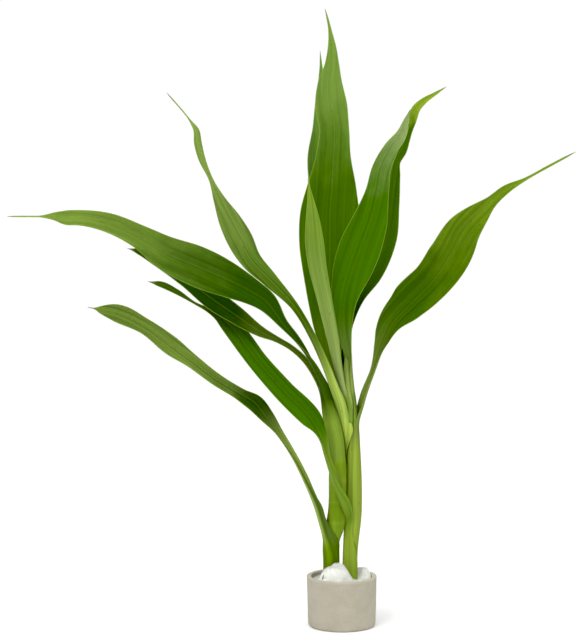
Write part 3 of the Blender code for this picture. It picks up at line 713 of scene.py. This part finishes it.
def leaf_greens(tree, given, across, zone, side, clouds):
    """The leaf's greens: sheath into stalk, stalk into blade, deep into bright, and the underside, with
    painted shade on the near half of the stalk and sheath.
    """
    # Deep into bright along the leaf: the leaf's own paler tip on most leaves; on the leaves marked in
    # LEAVES the outer colour is a painted highlight or painted shade.
    outer = plus(tree, zone["Y"], times(tree, minus(tree, clouds, 0.5), CLOUD_REACH))
    brightness = spread(tree, outer, given["Bright from"], given["Bright to"])
    body = blend(tree, brightness, given["Deep"], given["Bright"])
    below = minus(tree, 1.0, side)
    blade = blend(tree, times(tree, below, UNDER_SHARE), body, given["Under"])
    sheathing = measure(tree, "leaf_sheath")
    wrapped = blend(tree, sheathing, given["Stalk"], given["Sheath"])
    # Painted shade: the near half of the stalk and sheath turns towards the deep green by the stalk and
    # sheath shade, as the flank of a folded stalk turned away from the light.
    shades = {0: sheathing, 2: given["Stalk shade"], 3: given["Sheath shade"]}
    shade = put(tree, "ShaderNodeMix", shades).outputs[0]
    shaded = times(tree, shade, spread(tree, across, *SHADE_MASK))
    stalk = blend(tree, times(tree, below, shaded), wrapped, given["Deep"])
    return blend(tree, spread(tree, zone["Z"], *OPENED_MASK), stalk, blade)


def leaf_marks(tree, green, flow, across, zone):
    """The marks on the greens: a pale midrib and margins, dark specks, and a dry tip."""
    rib = spread(tree, calculate(tree, "ABSOLUTE", across), *RIB_MASK)
    ribbed = blend(tree, rib, green, linear(RIB_COLOUR))
    opened = spread(tree, zone["Z"], *MARGIN_OPENED)
    margin = times(tree, spread(tree, zone["X"], *MARGIN_MASK), opened)
    edged = blend(tree, margin, ribbed, linear(MARGIN_COLOUR))
    mapped = put(tree, "ShaderNodeMapping", {"Vector": flow, "Scale": SPECKS}).outputs["Vector"]
    cells = put(tree, "ShaderNodeTexVoronoi", {"Vector": mapped, "Scale": 1.0}, voronoi_dimensions="2D")
    speck = spread(tree, cells.outputs["Distance"], *SPECK_MASK)
    specked = blend(tree, speck, edged, linear(SPECK_COLOUR))
    return blend(tree, spread(tree, zone["Y"], *DRY_MASK), specked, linear(DRY_COLOUR))


def leaf_pattern():
    """The leaf's colours, gloss and relief as a node group.

    The attribute leaf_flow holds the distance from the midrib and the distance along the leaf in metres.
    The attribute leaf_zone holds the distance from the margin in metres, the share of the leaf's length
    and the share that the strip has opened from a stalk to a blade. The attribute leaf_side is 1 on the
    upper side and 0 on the underside, and leaf_sheath is 1 on the sheath and fades to 0 past its end.
    """
    inputs = [(label, "NodeSocketColor", WHITE) for label in ("Deep", "Bright", "Under", "Stalk", "Sheath")]
    inputs += [(label, "NodeSocketFloat", 0.0)
               for label in ("Bright from", "Bright to", "Stalk shade", "Sheath shade", "Streaks")]
    outputs = [("Color", "NodeSocketColor"), ("Roughness", "NodeSocketFloat"), ("Height", "NodeSocketFloat")]
    tree, given, result = new_group("Leaf pattern", inputs, outputs)
    flow = measure(tree, "leaf_flow", "Vector")
    side = measure(tree, "leaf_side")
    across = put(tree, "ShaderNodeSeparateXYZ", {"Vector": flow}).outputs["X"]
    zone = put(tree, "ShaderNodeSeparateXYZ", {"Vector": measure(tree, "leaf_zone", "Vector")}).outputs
    veins = grain(tree, flow, *VEINS)
    bands = grain(tree, flow, *BANDS)
    clouds = grain(tree, flow, *LEAF_CLOUDS)
    greens = leaf_greens(tree, given, across, zone, side, clouds)
    streaks = plus(tree, spread(tree, veins, *VEIN_MASK), spread(tree, bands, *BAND_MASK))
    lit = plus(tree, 1.0, times(tree, streaks, given["Streaks"]))
    shades = put(tree, "ShaderNodeCombineColor", {0: lit, 1: lit, 2: lit}).outputs["Color"]
    streaked = blend(tree, 1.0, greens, shades, "MULTIPLY")
    tree.links.new(leaf_marks(tree, streaked, flow, across, zone), result["Color"])
    gloss = plus(tree, spread(tree, clouds, *LEAF_ROUGHNESS), times(tree, side, UPPER_SMOOTHER))
    tree.links.new(gloss, result["Roughness"])
    tree.links.new(plus(tree, times(tree, veins, VEIN_RELIEF), bands), result["Height"])
    return tree


def empty_material(name):
    """A material with only its shader and its output."""
    made = bpy.data.materials.new(name)
    made.use_nodes = True
    return made, made.node_tree, made.node_tree.nodes["Principled BSDF"]


def finish_shader(tree, shader, colour, roughness, height, relief):
    """Give a shader its colour and roughness, and a relief of a strength and a depth in metres."""
    raised = put(tree, "ShaderNodeBump", {"Height": height, "Strength": relief[0], "Distance": relief[1]})
    tree.links.new(colour, shader.inputs["Base Color"])
    tree.links.new(roughness, shader.inputs["Roughness"])
    tree.links.new(raised.outputs["Normal"], shader.inputs["Normal"])


def leaf_material(name, pattern, deep, bright, under, stalk, sheath, bright_span, shades, shine, streaks):
    """The finish of one leaf: its own greens in the shared leaf pattern, with a satin skin."""
    made, tree, shader = empty_material(name)
    values = {"Deep": linear(deep), "Bright": linear(bright), "Under": linear(under), "Stalk": linear(stalk),
              "Sheath": linear(sheath), "Bright from": bright_span[0], "Bright to": bright_span[1],
              "Stalk shade": shades[0], "Sheath shade": shades[1], "Streaks": streaks}
    given = put(tree, "ShaderNodeGroup", node_tree=pattern)
    for label, value in values.items():
        given.inputs[label].default_value = value
    look = given.outputs
    finish_shader(tree, shader, look["Color"], look["Roughness"], look["Height"], LEAF_RELIEF)
    shader.inputs["Specular IOR Level"].default_value = shine
    return made


def stem_material():
    """Smooth green skin with long streaks, paler rings at the nodes and a paler crown."""
    made, tree, shader = empty_material("stem skin")
    place = place_on(tree)
    streaks = grain(tree, place, *SKIN_STREAKS)
    body = two_tones(tree, grain(tree, place, *SKIN_PATCHES), SKIN_COLOURS)
    streaked = blend(tree, spread(tree, streaks, *SKIN_STREAK_MASK), body, linear(STREAK_COLOUR))
    ring = times(tree, measure(tree, "node_ring"), NODE_SHARE)
    ringed = blend(tree, ring, streaked, linear(NODE_COLOUR))
    height = put(tree, "ShaderNodeSeparateXYZ", {"Vector": place}).outputs["Z"]
    crowned = blend(tree, spread(tree, height, *CROWN_MASK), ringed, linear(CROWN_COLOUR))
    finish_shader(tree, shader, crowned, spread(tree, streaks, *SKIN_ROUGHNESS), streaks, SKIN_RELIEF)
    shader.inputs["Specular IOR Level"].default_value = STEM_SHINE
    return made


def clay_material():
    """Unglazed grey clay: fine sand grain, faint clouds, small pits, and a paler worn rim."""
    made, tree, shader = empty_material("grey clay")
    place = place_on(tree)
    clouds = grain(tree, place, *CLAY_CLOUDS)
    sand = grain(tree, place, *SAND)
    pits = grain(tree, place, *PITS)
    body = two_tones(tree, clouds, CLAY_COLOURS)
    sandy = blend(tree, spread(tree, sand, *SAND_MASK), body, linear(SAND_COLOUR))
    pitted = blend(tree, spread(tree, pits, *PIT_MASK), sandy, linear(PIT_COLOUR))
    rubbed = blend(tree, times(tree, measure(tree, "worn"), WORN_SHARE), pitted, linear(WORN_COLOUR))
    height = minus(tree, sand, spread(tree, pits, *PIT_DEPTH))
    finish_shader(tree, shader, rubbed, spread(tree, clouds, *CLAY_ROUGHNESS), height, CLAY_RELIEF)
    return made


def wool_material():
    """Soft white fibre with painted grey shade in its hollows, and dark spots of painted shade by the rim.
    """
    made, tree, shader = empty_material("white wool")
    place = place_on(tree)
    strands = grain(tree, place, *STRANDS)
    body = two_tones(tree, grain(tree, place, *WOOL_CLOUDS), WOOL_COLOURS)
    # Painted shade: the white is greyed where the strands noise is high, as shade in the wool's hollows.
    shaded = blend(tree, spread(tree, strands, *WOOL_PAINTED_SHADE_MASK), body, linear(WOOL_PAINTED_SHADE))
    # Painted shade: dark spots at the wool's edge stand for the shade of small hollows between the wool and
    # the rim.
    shade_spot = spread(tree, measure(tree, "shade_spot"), *SHADE_SPOT_MASK)
    spot_shaded = blend(tree, shade_spot, shaded, linear(SHADE_SPOT_COLOUR))
    finish_shader(tree, shader, spot_shaded, spread(tree, strands, *WOOL_ROUGHNESS), strands, WOOL_RELIEF)
    shader.inputs["Sheen Weight"].default_value = WOOL_SHEEN
    return made


def grid_faces(rows, columns, around=False, first=0, inside_out=False):
    """The quads between the points of a grid of rows by columns, which may close round its columns."""
    row = np.arange(rows - 1)[:, None] * columns
    column = np.arange(columns if around else columns - 1)[None, :]
    after = (column + 1) % columns
    quads = np.stack([row + column, row + after, row + after + columns, row + column + columns], axis=-1)
    quads = quads.reshape(-1, 4) + first
    return (quads[:, ::-1] if inside_out else quads).tolist()


def turning(steps):
    """The angles of one full turn, as one row without the last, which is the first again."""
    return np.linspace(0, 2 * math.pi, steps, endpoint=False)[None, :]


def end_fans(rows, columns, inside_out=False):
    """The triangles that close a grid's first and last ring to the two points that follow the grid's own."""
    side = np.arange(columns)
    after = (side + 1) % columns
    last = (rows - 1) * columns
    centre = rows * columns
    first_fan = np.stack([after, side, side * 0 + centre], axis=1)
    last_fan = np.stack([last + side, last + after, side * 0 + centre + 1], axis=1)
    fans = np.concatenate([first_fan, last_fan])
    return (fans[:, ::-1] if inside_out else fans).tolist()


def round_piece(rows, columns, inside_out=False):
    """The faces of a grid that closes round its columns and to a point at each end."""
    return grid_faces(rows, columns, True, 0, inside_out) + end_fans(rows, columns, inside_out)


def make_piece(name, points, faces, finish, node, attributes=None):
    """A smooth mesh object at the origin, from points in millimetres, that stands for a CAD node."""
    mesh = bpy.data.meshes.new(name)
    mesh.from_pydata((np.asarray(points).reshape(-1, 3) * MM).tolist(), [], faces)
    for label, values in (attributes or {}).items():
        kind = "FLOAT" if values.ndim == 1 else "FLOAT_VECTOR"
        field = "value" if values.ndim == 1 else "vector"
        attribute = mesh.attributes.new(label, kind, "POINT")
        attribute.data.foreach_set(field, values.astype(np.float32).ravel())
    mesh.shade_smooth()
    mesh.materials.append(finish)
    obj = bpy.data.objects.new(name, mesh)
    bpy.context.scene.collection.objects.link(obj)
    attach(obj, BODY)
    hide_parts(node)
    return obj


def smooth_table(knots, rows, places):
    """A smooth curve through the rows of a table, read at the given places along its knots."""
    slopes = np.gradient(rows, knots, axis=0)
    left = np.clip(np.searchsorted(knots, places, side="right") - 1, 0, len(knots) - 2)
    step = (knots[left + 1] - knots[left])[:, None]
    t = (places[:, None] - knots[left][:, None]) / step
    start = (1 + 2 * t) * (1 - t) ** 2 * rows[left] + t * (1 - t) ** 2 * step * slopes[left]
    end = t ** 2 * (3 - 2 * t) * rows[left + 1] + t ** 2 * (t - 1) * step * slopes[left + 1]
    return start + end


def unit(vectors):
    """Vectors brought to length one."""
    return vectors / np.linalg.norm(vectors, axis=-1, keepdims=True)


def leaf_stations(stem, sheath, blade):
    """Stations in space: the sheath's on a circle round its stem, the blade's along their lines of sight."""
    stem = np.asarray(stem, float)
    height, turn, half_angle, layer = np.asarray(sheath, float).T
    x, y, radius = (np.interp(height, stem[:, 2], stem[:, i]) for i in (0, 1, 3))
    outer = radius + STEM_CLEARANCE + LAYER_STEP * layer
    angle = np.radians(turn)
    wrap = outer * np.radians(half_angle)
    at_x, at_y = x - outer * np.sin(angle), y + outer * np.cos(angle)
    base = np.stack([at_x, at_y, height, wrap, turn, half_angle], axis=1)
    x, z, depth, half_width, turn, half_angle = np.asarray(blade, float).T
    seen = np.stack([x, 0 * x, z], axis=1)
    reach = ((depth - EYE[1]) / -EYE[1])[:, None]
    points = EYE + (seen - EYE) * reach
    free = np.concatenate([points, np.stack([half_width, turn, half_angle], axis=1)], axis=1)
    return np.concatenate([base, free])


def leaf_lift(across, places, half_width, radius, bend, phase):
    """How far a leaf's points rise above its midrib line, towards its upper side.

    It is the rise of the arc itself, plus a slow wave times the square and a ripple times the fourth
    power of the share across, plus a shoulder of 4a(1-a) on each half, plus the pleats as a cosine,
    less the midrib's groove as a bell curve.
    """
    side = np.abs(across)
    wide = np.clip(half_width / WAVE_FROM_HALF_WIDTH - 1.0, 0.0, 1.0)
    turn = 2 * math.pi * places[:, None]
    wave = np.sin(turn / WAVE_LENGTH + across * math.pi / 2)
    ripple = np.sin(turn / RIPPLE_LENGTH + RIPPLE_SHIFT * np.sign(across) + phase)
    ripple = ripple * np.sin(turn / SWELL_LENGTH + SWELL_SHIFT * np.sign(across) + phase * 2)
    lift = radius * (1 - np.cos(bend))
    lift = lift + wide * (WAVE_HEIGHT * wave * side ** 2 + RIPPLE_HEIGHT * ripple * side ** 4)
    lift = lift + SHOULDER * half_width * 4 * side * (1 - side) * wide
    lift = lift + PLEAT_HEIGHT * wide * (1 - side ** 2) * np.cos(math.pi * PLEATS * across + phase)
    groove = np.exp(-(across * half_width / GROOVE_WIDTH) ** 2)
    return lift - GROOVE_DEPTH * groove * np.clip(half_width / GROOVE_FULL_FROM, 0, 1)


def leaf_measures(across, places, half_width, half_angle, sheath_end):
    """The attributes of a leaf's points that leaf_pattern reads, but for the side."""
    along = places[:, None] + 0 * across
    flow = np.stack([across * half_width, along, 0 * along], axis=-1).reshape(-1, 3) * MM
    from_margin = (1 - np.abs(across)) * half_width * MM
    opened = np.clip(OPENED_BY - half_angle / math.radians(STALK_HALF_ANGLE), 0, 1) + 0 * across
    zone = np.stack([from_margin, along / places[-1], opened], axis=-1).reshape(-1, 3)
    sheath = np.clip(0.5 - (along - sheath_end) / (2 * SHEATH_FADE), 0, 1).ravel()
    return {"leaf_flow": flow, "leaf_zone": zone, "leaf_sheath": sheath}


def leaf_shape(stations, sheath_rows, phase):
    """The middle surface of a leaf with its normals, its thickness and its measures.

    The two parameters are the distance along the midrib and the share across from -1 to 1. Across, a
    point runs along an arc of the half angle and the half width, and rises by leaf_lift. The width
    shrinks to the tip by a power of the distance left, and the strip thins evenly towards the tip and
    by the cube of the share across towards the margins.
    """
    spans = np.linalg.norm(np.diff(stations[:, :3], axis=0), axis=1)
    knots = np.concatenate([[0.0], np.cumsum(spans)])
    places = np.linspace(0.0, knots[-1], int(round(knots[-1] / RING_SPACING)) + 1)
    table = smooth_table(knots, stations, places)
    middle = table[:, :3]
    taper = np.clip((places[-1] - places) / TIP_TAPER, TIP_END, 1.0)[:, None] ** TIP_POWER
    half_width = np.maximum(table[:, 3:4], TIP_HALF_WIDTH) * taper
    turn = np.radians(table[:, 4:5])
    half_angle = np.radians(np.maximum(table[:, 5:6], TIP_HALF_ANGLE))
    tangent = unit(np.gradient(middle, places, axis=0))
    sight = unit(EYE - middle)
    facing = unit(sight - tangent * np.sum(sight * tangent, axis=1, keepdims=True))
    normal = np.cos(turn) * facing + np.sin(turn) * np.cross(tangent, facing)
    width = np.cross(tangent, normal)
    across = np.linspace(-1.0, 1.0, STRIPS + 1)[None, :]
    across = np.sin(across * math.pi / 2) * (1 - EVEN_SHARE) + across * EVEN_SHARE
    bend = across * half_angle
    radius = half_width / half_angle
    sideways = (radius * np.sin(bend))[..., None]
    lift = leaf_lift(across, places, half_width, radius, bend, phase)[..., None]
    points = middle[:, None, :] + sideways * width[:, None, :] + lift * normal[:, None, :]
    inward = unit(np.cross(np.gradient(points, axis=1), np.gradient(points, axis=0)))
    cube = np.abs(across) ** 3
    thick = MIDRIB_THICKNESS + (TIP_THICKNESS - MIDRIB_THICKNESS) * places[:, None] / places[-1]
    thickness = (thick * (1 - cube) + MARGIN_THICKNESS * cube) * taper
    measures = leaf_measures(across, places, half_width, half_angle, knots[sheath_rows - 1])
    return points, inward, thickness[..., None], measures


def make_leaf(piece, node, stem, sheath, blade, phase, finish):
    """A leaf as a closed skin: the middle surface moved half its thickness to each side, and a rim."""
    points, inward, thickness, measures = leaf_shape(leaf_stations(stem, sheath, blade), len(sheath), phase)
    rows, columns = points.shape[:2]
    both = np.concatenate([points + inward * thickness / 2, points - inward * thickness / 2])
    shift = rows * columns
    faces = grid_faces(rows, columns) + grid_faces(rows, columns, first=shift, inside_out=True)
    index = np.arange(shift).reshape(rows, columns)
    rim = np.concatenate([index[:, 0], index[-1, 1:], index[-2::-1, -1], index[0, -2:0:-1]])
    after = np.roll(rim, -1)
    faces += np.stack([rim, after, after + shift, rim + shift], axis=1).tolist()
    attributes = {label: np.concatenate([values, values]) for label, values in measures.items()}
    attributes["leaf_side"] = np.concatenate([np.ones(shift), np.zeros(shift)])
    return make_piece(piece, both, faces, finish, node, attributes)


def make_stem(piece, node, table, finish):
    """A stem: level rings round a smooth line, each node a low ring-shaped swelling, and round ends."""
    rows = np.asarray(table, float)
    count = int(round((rows[-1, 2] - rows[0, 2]) / STEM_RING_SPACING)) + 1
    heights = np.linspace(rows[0, 2], rows[-1, 2], count)
    smooth = smooth_table(rows[:, 2], rows, heights)
    from_node = (heights + NODE_SPACING / 2) % NODE_SPACING - NODE_SPACING / 2
    ring = np.exp(-(from_node / NODE_WIDTH) ** 2)
    radius = smooth[:, 3] + NODE_RISE * ring
    angle = turning(STEM_SIDES)
    x = smooth[:, 0:1] + radius[:, None] * np.cos(angle)
    y = smooth[:, 1:2] + radius[:, None] * np.sin(angle)
    points = np.stack([x, y, heights[:, None] + 0 * angle], axis=-1).reshape(-1, 3)
    ends = np.array([[*smooth[0, :2], heights[0]], [*smooth[-1, :2], heights[-1] + radius[-1] * STEM_END]])
    points = np.concatenate([points, ends])
    rings = np.concatenate([np.repeat(ring, STEM_SIDES), [0.0, 0.0]])
    faces = round_piece(count, STEM_SIDES)
    return make_piece(piece, points, faces, finish, node, {"node_ring": rings})


def arc(centre, radius, start, end, steps):
    """Points of a round edge, from a centre, a radius and two angles in degrees."""
    angle = np.radians(np.linspace(start, end, steps))
    return np.stack([centre[0] + radius * np.cos(angle), centre[1] + radius * np.sin(angle)], axis=1)


def pot_profile():
    """The pot's section, from the middle of its underside up the wall, over the rim and to its floor."""
    rim, foot = POT_RIM_DIAMETER / 2, POT_FOOT_DIAMETER / 2
    inner_rim, inner_foot = rim - POT_WALL, foot - POT_WALL
    lip = POT_HEIGHT - RIM_ROUND
    wall = np.linspace(0, 1, WALL_STEPS)[:, None]
    under = np.linspace(CENTRE_RING, foot - FOOT_ROUND - FOOT_MARGIN, FLAT_STEPS)
    floor = np.linspace(inner_foot - FLOOR_MARGIN, CENTRE_RING, FLAT_STEPS)
    return np.concatenate([
        np.stack([under, 0 * under], axis=1),
        arc((foot - FOOT_ROUND, FOOT_ROUND), FOOT_ROUND, -90, 0, FOOT_STEPS)[:-1],
        np.array([[foot, FOOT_ROUND]]) * (1 - wall) + np.array([[rim, lip]]) * wall,
        arc((rim - RIM_ROUND, lip), RIM_ROUND, 0, 90, RIM_STEPS)[1:],
        arc((inner_rim + RIM_ROUND, lip), RIM_ROUND, 90, 180, RIM_STEPS)[:-1],
        np.array([[inner_rim, lip]]) * (1 - wall) + np.array([[inner_foot, POT_FLOOR]]) * wall,
        np.stack([floor, 0 * floor + POT_FLOOR], axis=1),
    ])


def make_pot(finish):
    """The pot: a profile with round edges turned about the upright axis, with a slightly uneven wall.

    The wall moves in and out by a sum of slow waves round the pot and up it, the rim rises and falls by
    a sine, and each chip takes a bell-shaped bite out of the rim.
    """
    angle = turning(POT_SECTORS)
    profile = pot_profile()
    r, z = profile[:, 0:1], profile[:, 1:2]
    on_rim = np.exp(-((z - POT_HEIGHT) / RIM_WEAR) ** 2)
    outer = np.clip(2 * r / WAVES_FULL_FROM - 1, 0, 1)
    uneven = sum(high * np.sin(count * angle + start + lean * z) for high, count, start, lean in WALL_WAVES)
    bite = sum(depth * np.exp(-((angle - at) / wide) ** 2) * np.exp(-((z - POT_HEIGHT) / tall) ** 2)
               for at, depth, wide, tall in POT_CHIPS)
    outwards = np.sign(r - (POT_RIM_DIAMETER - POT_WALL) / 2)
    radius = r + uneven * outer - bite * outwards * outer * CHIP_SIDEWAYS
    rim_high, rim_count, rim_start = RIM_WAVE
    height = z - bite * CHIP_DOWN + rim_high * on_rim * np.sin(rim_count * angle + rim_start)
    points = np.stack([radius * np.cos(angle), radius * np.sin(angle), height], axis=-1).reshape(-1, 3)
    points = np.concatenate([points, [[0, 0, 0], [0, 0, POT_FLOOR]]])
    worn = np.concatenate([(on_rim * np.clip(1 - bite * CHIP_FRESH, 0, 1)).ravel(), [0.0, 0.0]])
    return make_piece("clay_pot", points, round_piece(len(profile), POT_SECTORS), finish, "pot",
                      {"worn": worn})


def pot_inside(height):
    """Radius of the pot's inside at a height."""
    rise = (height - POT_FLOOR) / (POT_HEIGHT - POT_FLOOR)
    return (POT_FOOT_DIAMETER + (POT_RIM_DIAMETER - POT_FOOT_DIAMETER) * rise) / 2 - POT_WALL


def wool_height(x, y):
    """Height of the wool's top: a level with round lumps and with puffs, which are products of two waves."""
    height = WOOL_LEVEL + 0 * x
    for at_x, at_y, rise, wide, deep in WOOL_LUMPS:
        apart = ((x - at_x) / wide) ** 2 + ((y - at_y) / deep) ** 2
        height = height + rise * np.exp(-apart ** LUMP_SHARPNESS)
    for high, one, other in PUFFS:
        one_wave, other_wave = (np.sin(by_x * x + by_y * y + start) for by_x, by_y, start in (one, other))
        height = height + PUFF_HEIGHT * high * one_wave * other_wave
    return height


def shade_spot_share(x, y):
    """How much of a dark spot of painted shade lies at a place: a bell curve round each spot's middle."""
    apart = (np.hypot(x - at_x, y - at_y) for at_x, at_y in SHADE_SPOTS)
    return sum(np.exp(-(distance / SHADE_SPOT_RADIUS) ** 2) for distance in apart)


def make_wool(finish):
    """The wool as a closed mound: a round grid at the wool's height, a wall to the floor, and a foot."""
    base = POT_FLOOR + WOOL_GAP
    edge = pot_inside(WOOL_LEVEL) - WOOL_GAP
    share = np.linspace(0, 1, WOOL_RINGS + 1)[1:, None]
    angle = turning(WOOL_SECTORS)
    x, y = edge * share * np.cos(angle), edge * share * np.sin(angle)
    shade_spots = shade_spot_share(x, y)
    height = wool_height(x, y) - EDGE_DROP * share ** EDGE_POWER + SHADE_SPOT_RISE * shade_spots
    top = np.stack([x, y, height], axis=-1)
    foot = np.stack([x[-1] * WOOL_FOOT_SHARE, y[-1] * WOOL_FOOT_SHARE, np.full(WOOL_SECTORS, base)], axis=-1)
    middle = [[0, 0, float(wool_height(0.0, 0.0))], [0, 0, base]]
    points = np.concatenate([np.concatenate([top, foot[None]]).reshape(-1, 3), middle])
    shade_spot = np.concatenate([shade_spots.ravel(), np.zeros(WOOL_SECTORS + 2)])
    faces = round_piece(WOOL_RINGS + 1, WOOL_SECTORS, inside_out=True)
    return make_piece("wool_mound", points, faces, finish, "wool", {"shade_spot": shade_spot})


def make_fibres(finish):
    """Loose fibres: three-sided tubes along curved lines that lift off the mound in a low arc."""
    rng = np.random.default_rng(FIBRE_SEED)
    edge = pot_inside(WOOL_LEVEL) - WOOL_GAP - FIBRE_MARGIN
    radius = edge * np.sqrt(rng.random(FIBRES)) * FIBRE_REACH
    angle = rng.random(FIBRES) * 2 * math.pi
    heading = rng.random(FIBRES) * 2 * math.pi
    turn = rng.normal(0, FIBRE_TURNING, FIBRES)
    length = rng.uniform(*FIBRE_LENGTH, FIBRES)
    lift = rng.uniform(*FIBRE_LIFT, FIBRES)
    t = np.linspace(0, 1, FIBRE_POINTS)[None, :]
    bearing = heading[:, None] + turn[:, None] * t
    step = (length / (FIBRE_POINTS - 1))[:, None]
    x = (radius * np.cos(angle))[:, None] + np.cumsum(np.cos(bearing) * step, axis=1)
    y = (radius * np.sin(angle))[:, None] + np.cumsum(np.sin(bearing) * step, axis=1)
    out = np.maximum(np.hypot(x, y) / edge, 1.0)
    x, y = x / out, y / out
    z = wool_height(x, y) + lift[:, None] * np.sin(math.pi * t) - FIBRE_SINK
    line = np.stack([x, y, z], axis=-1)
    along = unit(np.gradient(line, axis=1))
    across = unit(np.cross(along, np.array([0.0, 0.0, 1.0]) + 0 * along))[..., None, :]
    upward = np.cross(across, along[..., None, :])
    corner = turning(FIBRE_CORNERS).reshape(-1, 1)
    thin = (FIBRE_RADIUS * (1 - FIBRE_TAPER * np.abs(2 * t - 1) ** 3))[..., None, None]
    ring = np.cos(corner) * across + np.sin(corner) * upward
    points = (line[..., None, :] + thin * ring).reshape(-1, 3)
    shift = (np.arange(FIBRES) * FIBRE_POINTS * FIBRE_CORNERS)[:, None, None]
    sides = np.array(grid_faces(FIBRE_POINTS, FIBRE_CORNERS, around=True))
    faces = (sides[None] + shift).reshape(-1, 4).tolist()
    last = (FIBRE_POINTS - 1) * FIBRE_CORNERS
    ends = np.array([[2, 1, 0], [last, last + 1, last + 2]])
    faces += (ends[None] + shift).reshape(-1, 3).tolist()
    return make_piece("wool_fibres", points, faces, finish, "wool")


def studio_finish():
    """White paint near the plant that passes into a plain white glow further out, for the camera alone."""
    made, tree, shader = empty_material("studio white")
    distance = put(tree, "ShaderNodeVectorMath", {0: place_on(tree)}, operation="LENGTH").outputs["Value"]
    far = spread(tree, distance, FLOOR_PAINTED, FLOOR_GLOWING)
    tree.links.new(blend(tree, far, FLOOR_PAINT, BLACK), shader.inputs["Base Color"])
    tree.links.new(blend(tree, far, BLACK, WHITE), shader.inputs["Emission Color"])
    seen = put(tree, "ShaderNodeLightPath").outputs["Is Camera Ray"]
    tree.links.new(times(tree, seen, WHITE_GLOW), shader.inputs["Emission Strength"])
    shader.inputs["Roughness"].default_value = FLOOR_ROUGHNESS
    shader.inputs["Specular IOR Level"].default_value = 0.0
    return made


def make_floor():
    """A plain white floor."""
    side = FLOOR_REACH
    corners = [(-side, -side, 0), (side, -side, 0), (side, side, 0), (-side, side, 0)]
    mesh = bpy.data.meshes.new("studio_floor")
    mesh.from_pydata(corners, [], [(0, 1, 2, 3)])
    mesh.materials.append(studio_finish())
    floor = bpy.data.objects.new("studio_floor", mesh)
    bpy.context.scene.collection.objects.link(floor)


def make_world():
    """Soft light that is strongest from above, and plain white where the camera looks past the floor."""
    world = bpy.data.worlds.new("studio")
    world.use_nodes = True
    tree = world.node_tree
    light = tree.nodes["Background"]
    direction = put(tree, "ShaderNodeTexCoord").outputs["Generated"]
    upward = put(tree, "ShaderNodeSeparateXYZ", {"Vector": direction}).outputs["Z"]
    tree.links.new(spread(tree, upward, *WORLD_GLOW), light.inputs["Strength"])
    light.inputs["Color"].default_value = WHITE
    white = put(tree, "ShaderNodeBackground", {"Color": WHITE, "Strength": WHITE_GLOW}).outputs["Background"]
    seen = put(tree, "ShaderNodeLightPath").outputs["Is Camera Ray"]
    mixed = put(tree, "ShaderNodeMixShader", {0: seen, 1: light.outputs["Background"], 2: white})
    tree.links.new(mixed.outputs["Shader"], tree.nodes["World Output"].inputs["Surface"])
    bpy.context.scene.world = world


def make_camera():
    """The camera at the photograph's view, and how its picture is shown."""
    camera = bpy.data.cameras.new("view")
    camera.lens = LENS
    camera.sensor_fit = "VERTICAL"
    camera.sensor_height = FILM_HEIGHT
    camera.clip_start, camera.clip_end = CAMERA_SEES
    seat = bpy.data.objects.new("view", camera)
    seat.location = [float(c) * MM for c in EYE]
    seat.rotation_euler = (math.radians(90.0 - CAMERA_TILT), 0.0, 0.0)
    bpy.context.scene.collection.objects.link(seat)
    bpy.context.scene.camera = seat
    view = bpy.context.scene.view_settings
    view.view_transform = "Standard"
    view.use_curve_mapping = True
    view.curve_mapping.black_level = (BLACK_LEVEL, BLACK_LEVEL, BLACK_LEVEL)
    view.curve_mapping.update()


def add_lamp(name, place, target, size, watts):
    """A square soft lamp at a place in metres, turned towards a target, that no gloss mirrors."""
    lamp = bpy.data.lights.new(name, "AREA")
    lamp.shape = "SQUARE"
    lamp.size = size
    lamp.energy = watts
    holder = bpy.data.objects.new(name, lamp)
    holder.location = place
    aim = np.asarray(target, float) - np.asarray(place, float)
    level = math.hypot(aim[0], aim[1])
    holder.rotation_euler = (math.atan2(level, -aim[2]), 0.0, math.atan2(aim[1], aim[0]) - math.pi / 2)
    holder.visible_glossy = False
    bpy.context.scene.collection.objects.link(holder)


def make_studio():
    """The floor, the light from all around, the lamps and the camera."""
    make_floor()
    make_world()
    for lamp in LAMPS:
        add_lamp(*lamp)
    make_camera()


def build():
    """Every piece of the plant, and the studio."""
    make_studio()
    make_pot(clay_material())
    wool = wool_material()
    make_wool(wool)
    make_fibres(wool)
    skin = stem_material()
    make_stem("left_stem", "stem_left", STEM_LEFT, skin)
    make_stem("right_stem", "stem_right", STEM_RIGHT, skin)
    pattern = leaf_pattern()
    for name, stem, sheath, blade, phase, *look in LEAVES:
        finish = leaf_material(name.replace("_", " ") + " leaf", pattern, *look)
        make_leaf(name + "_leaf", "leaf_" + name, stem, sheath, blade, phase, finish)


build()
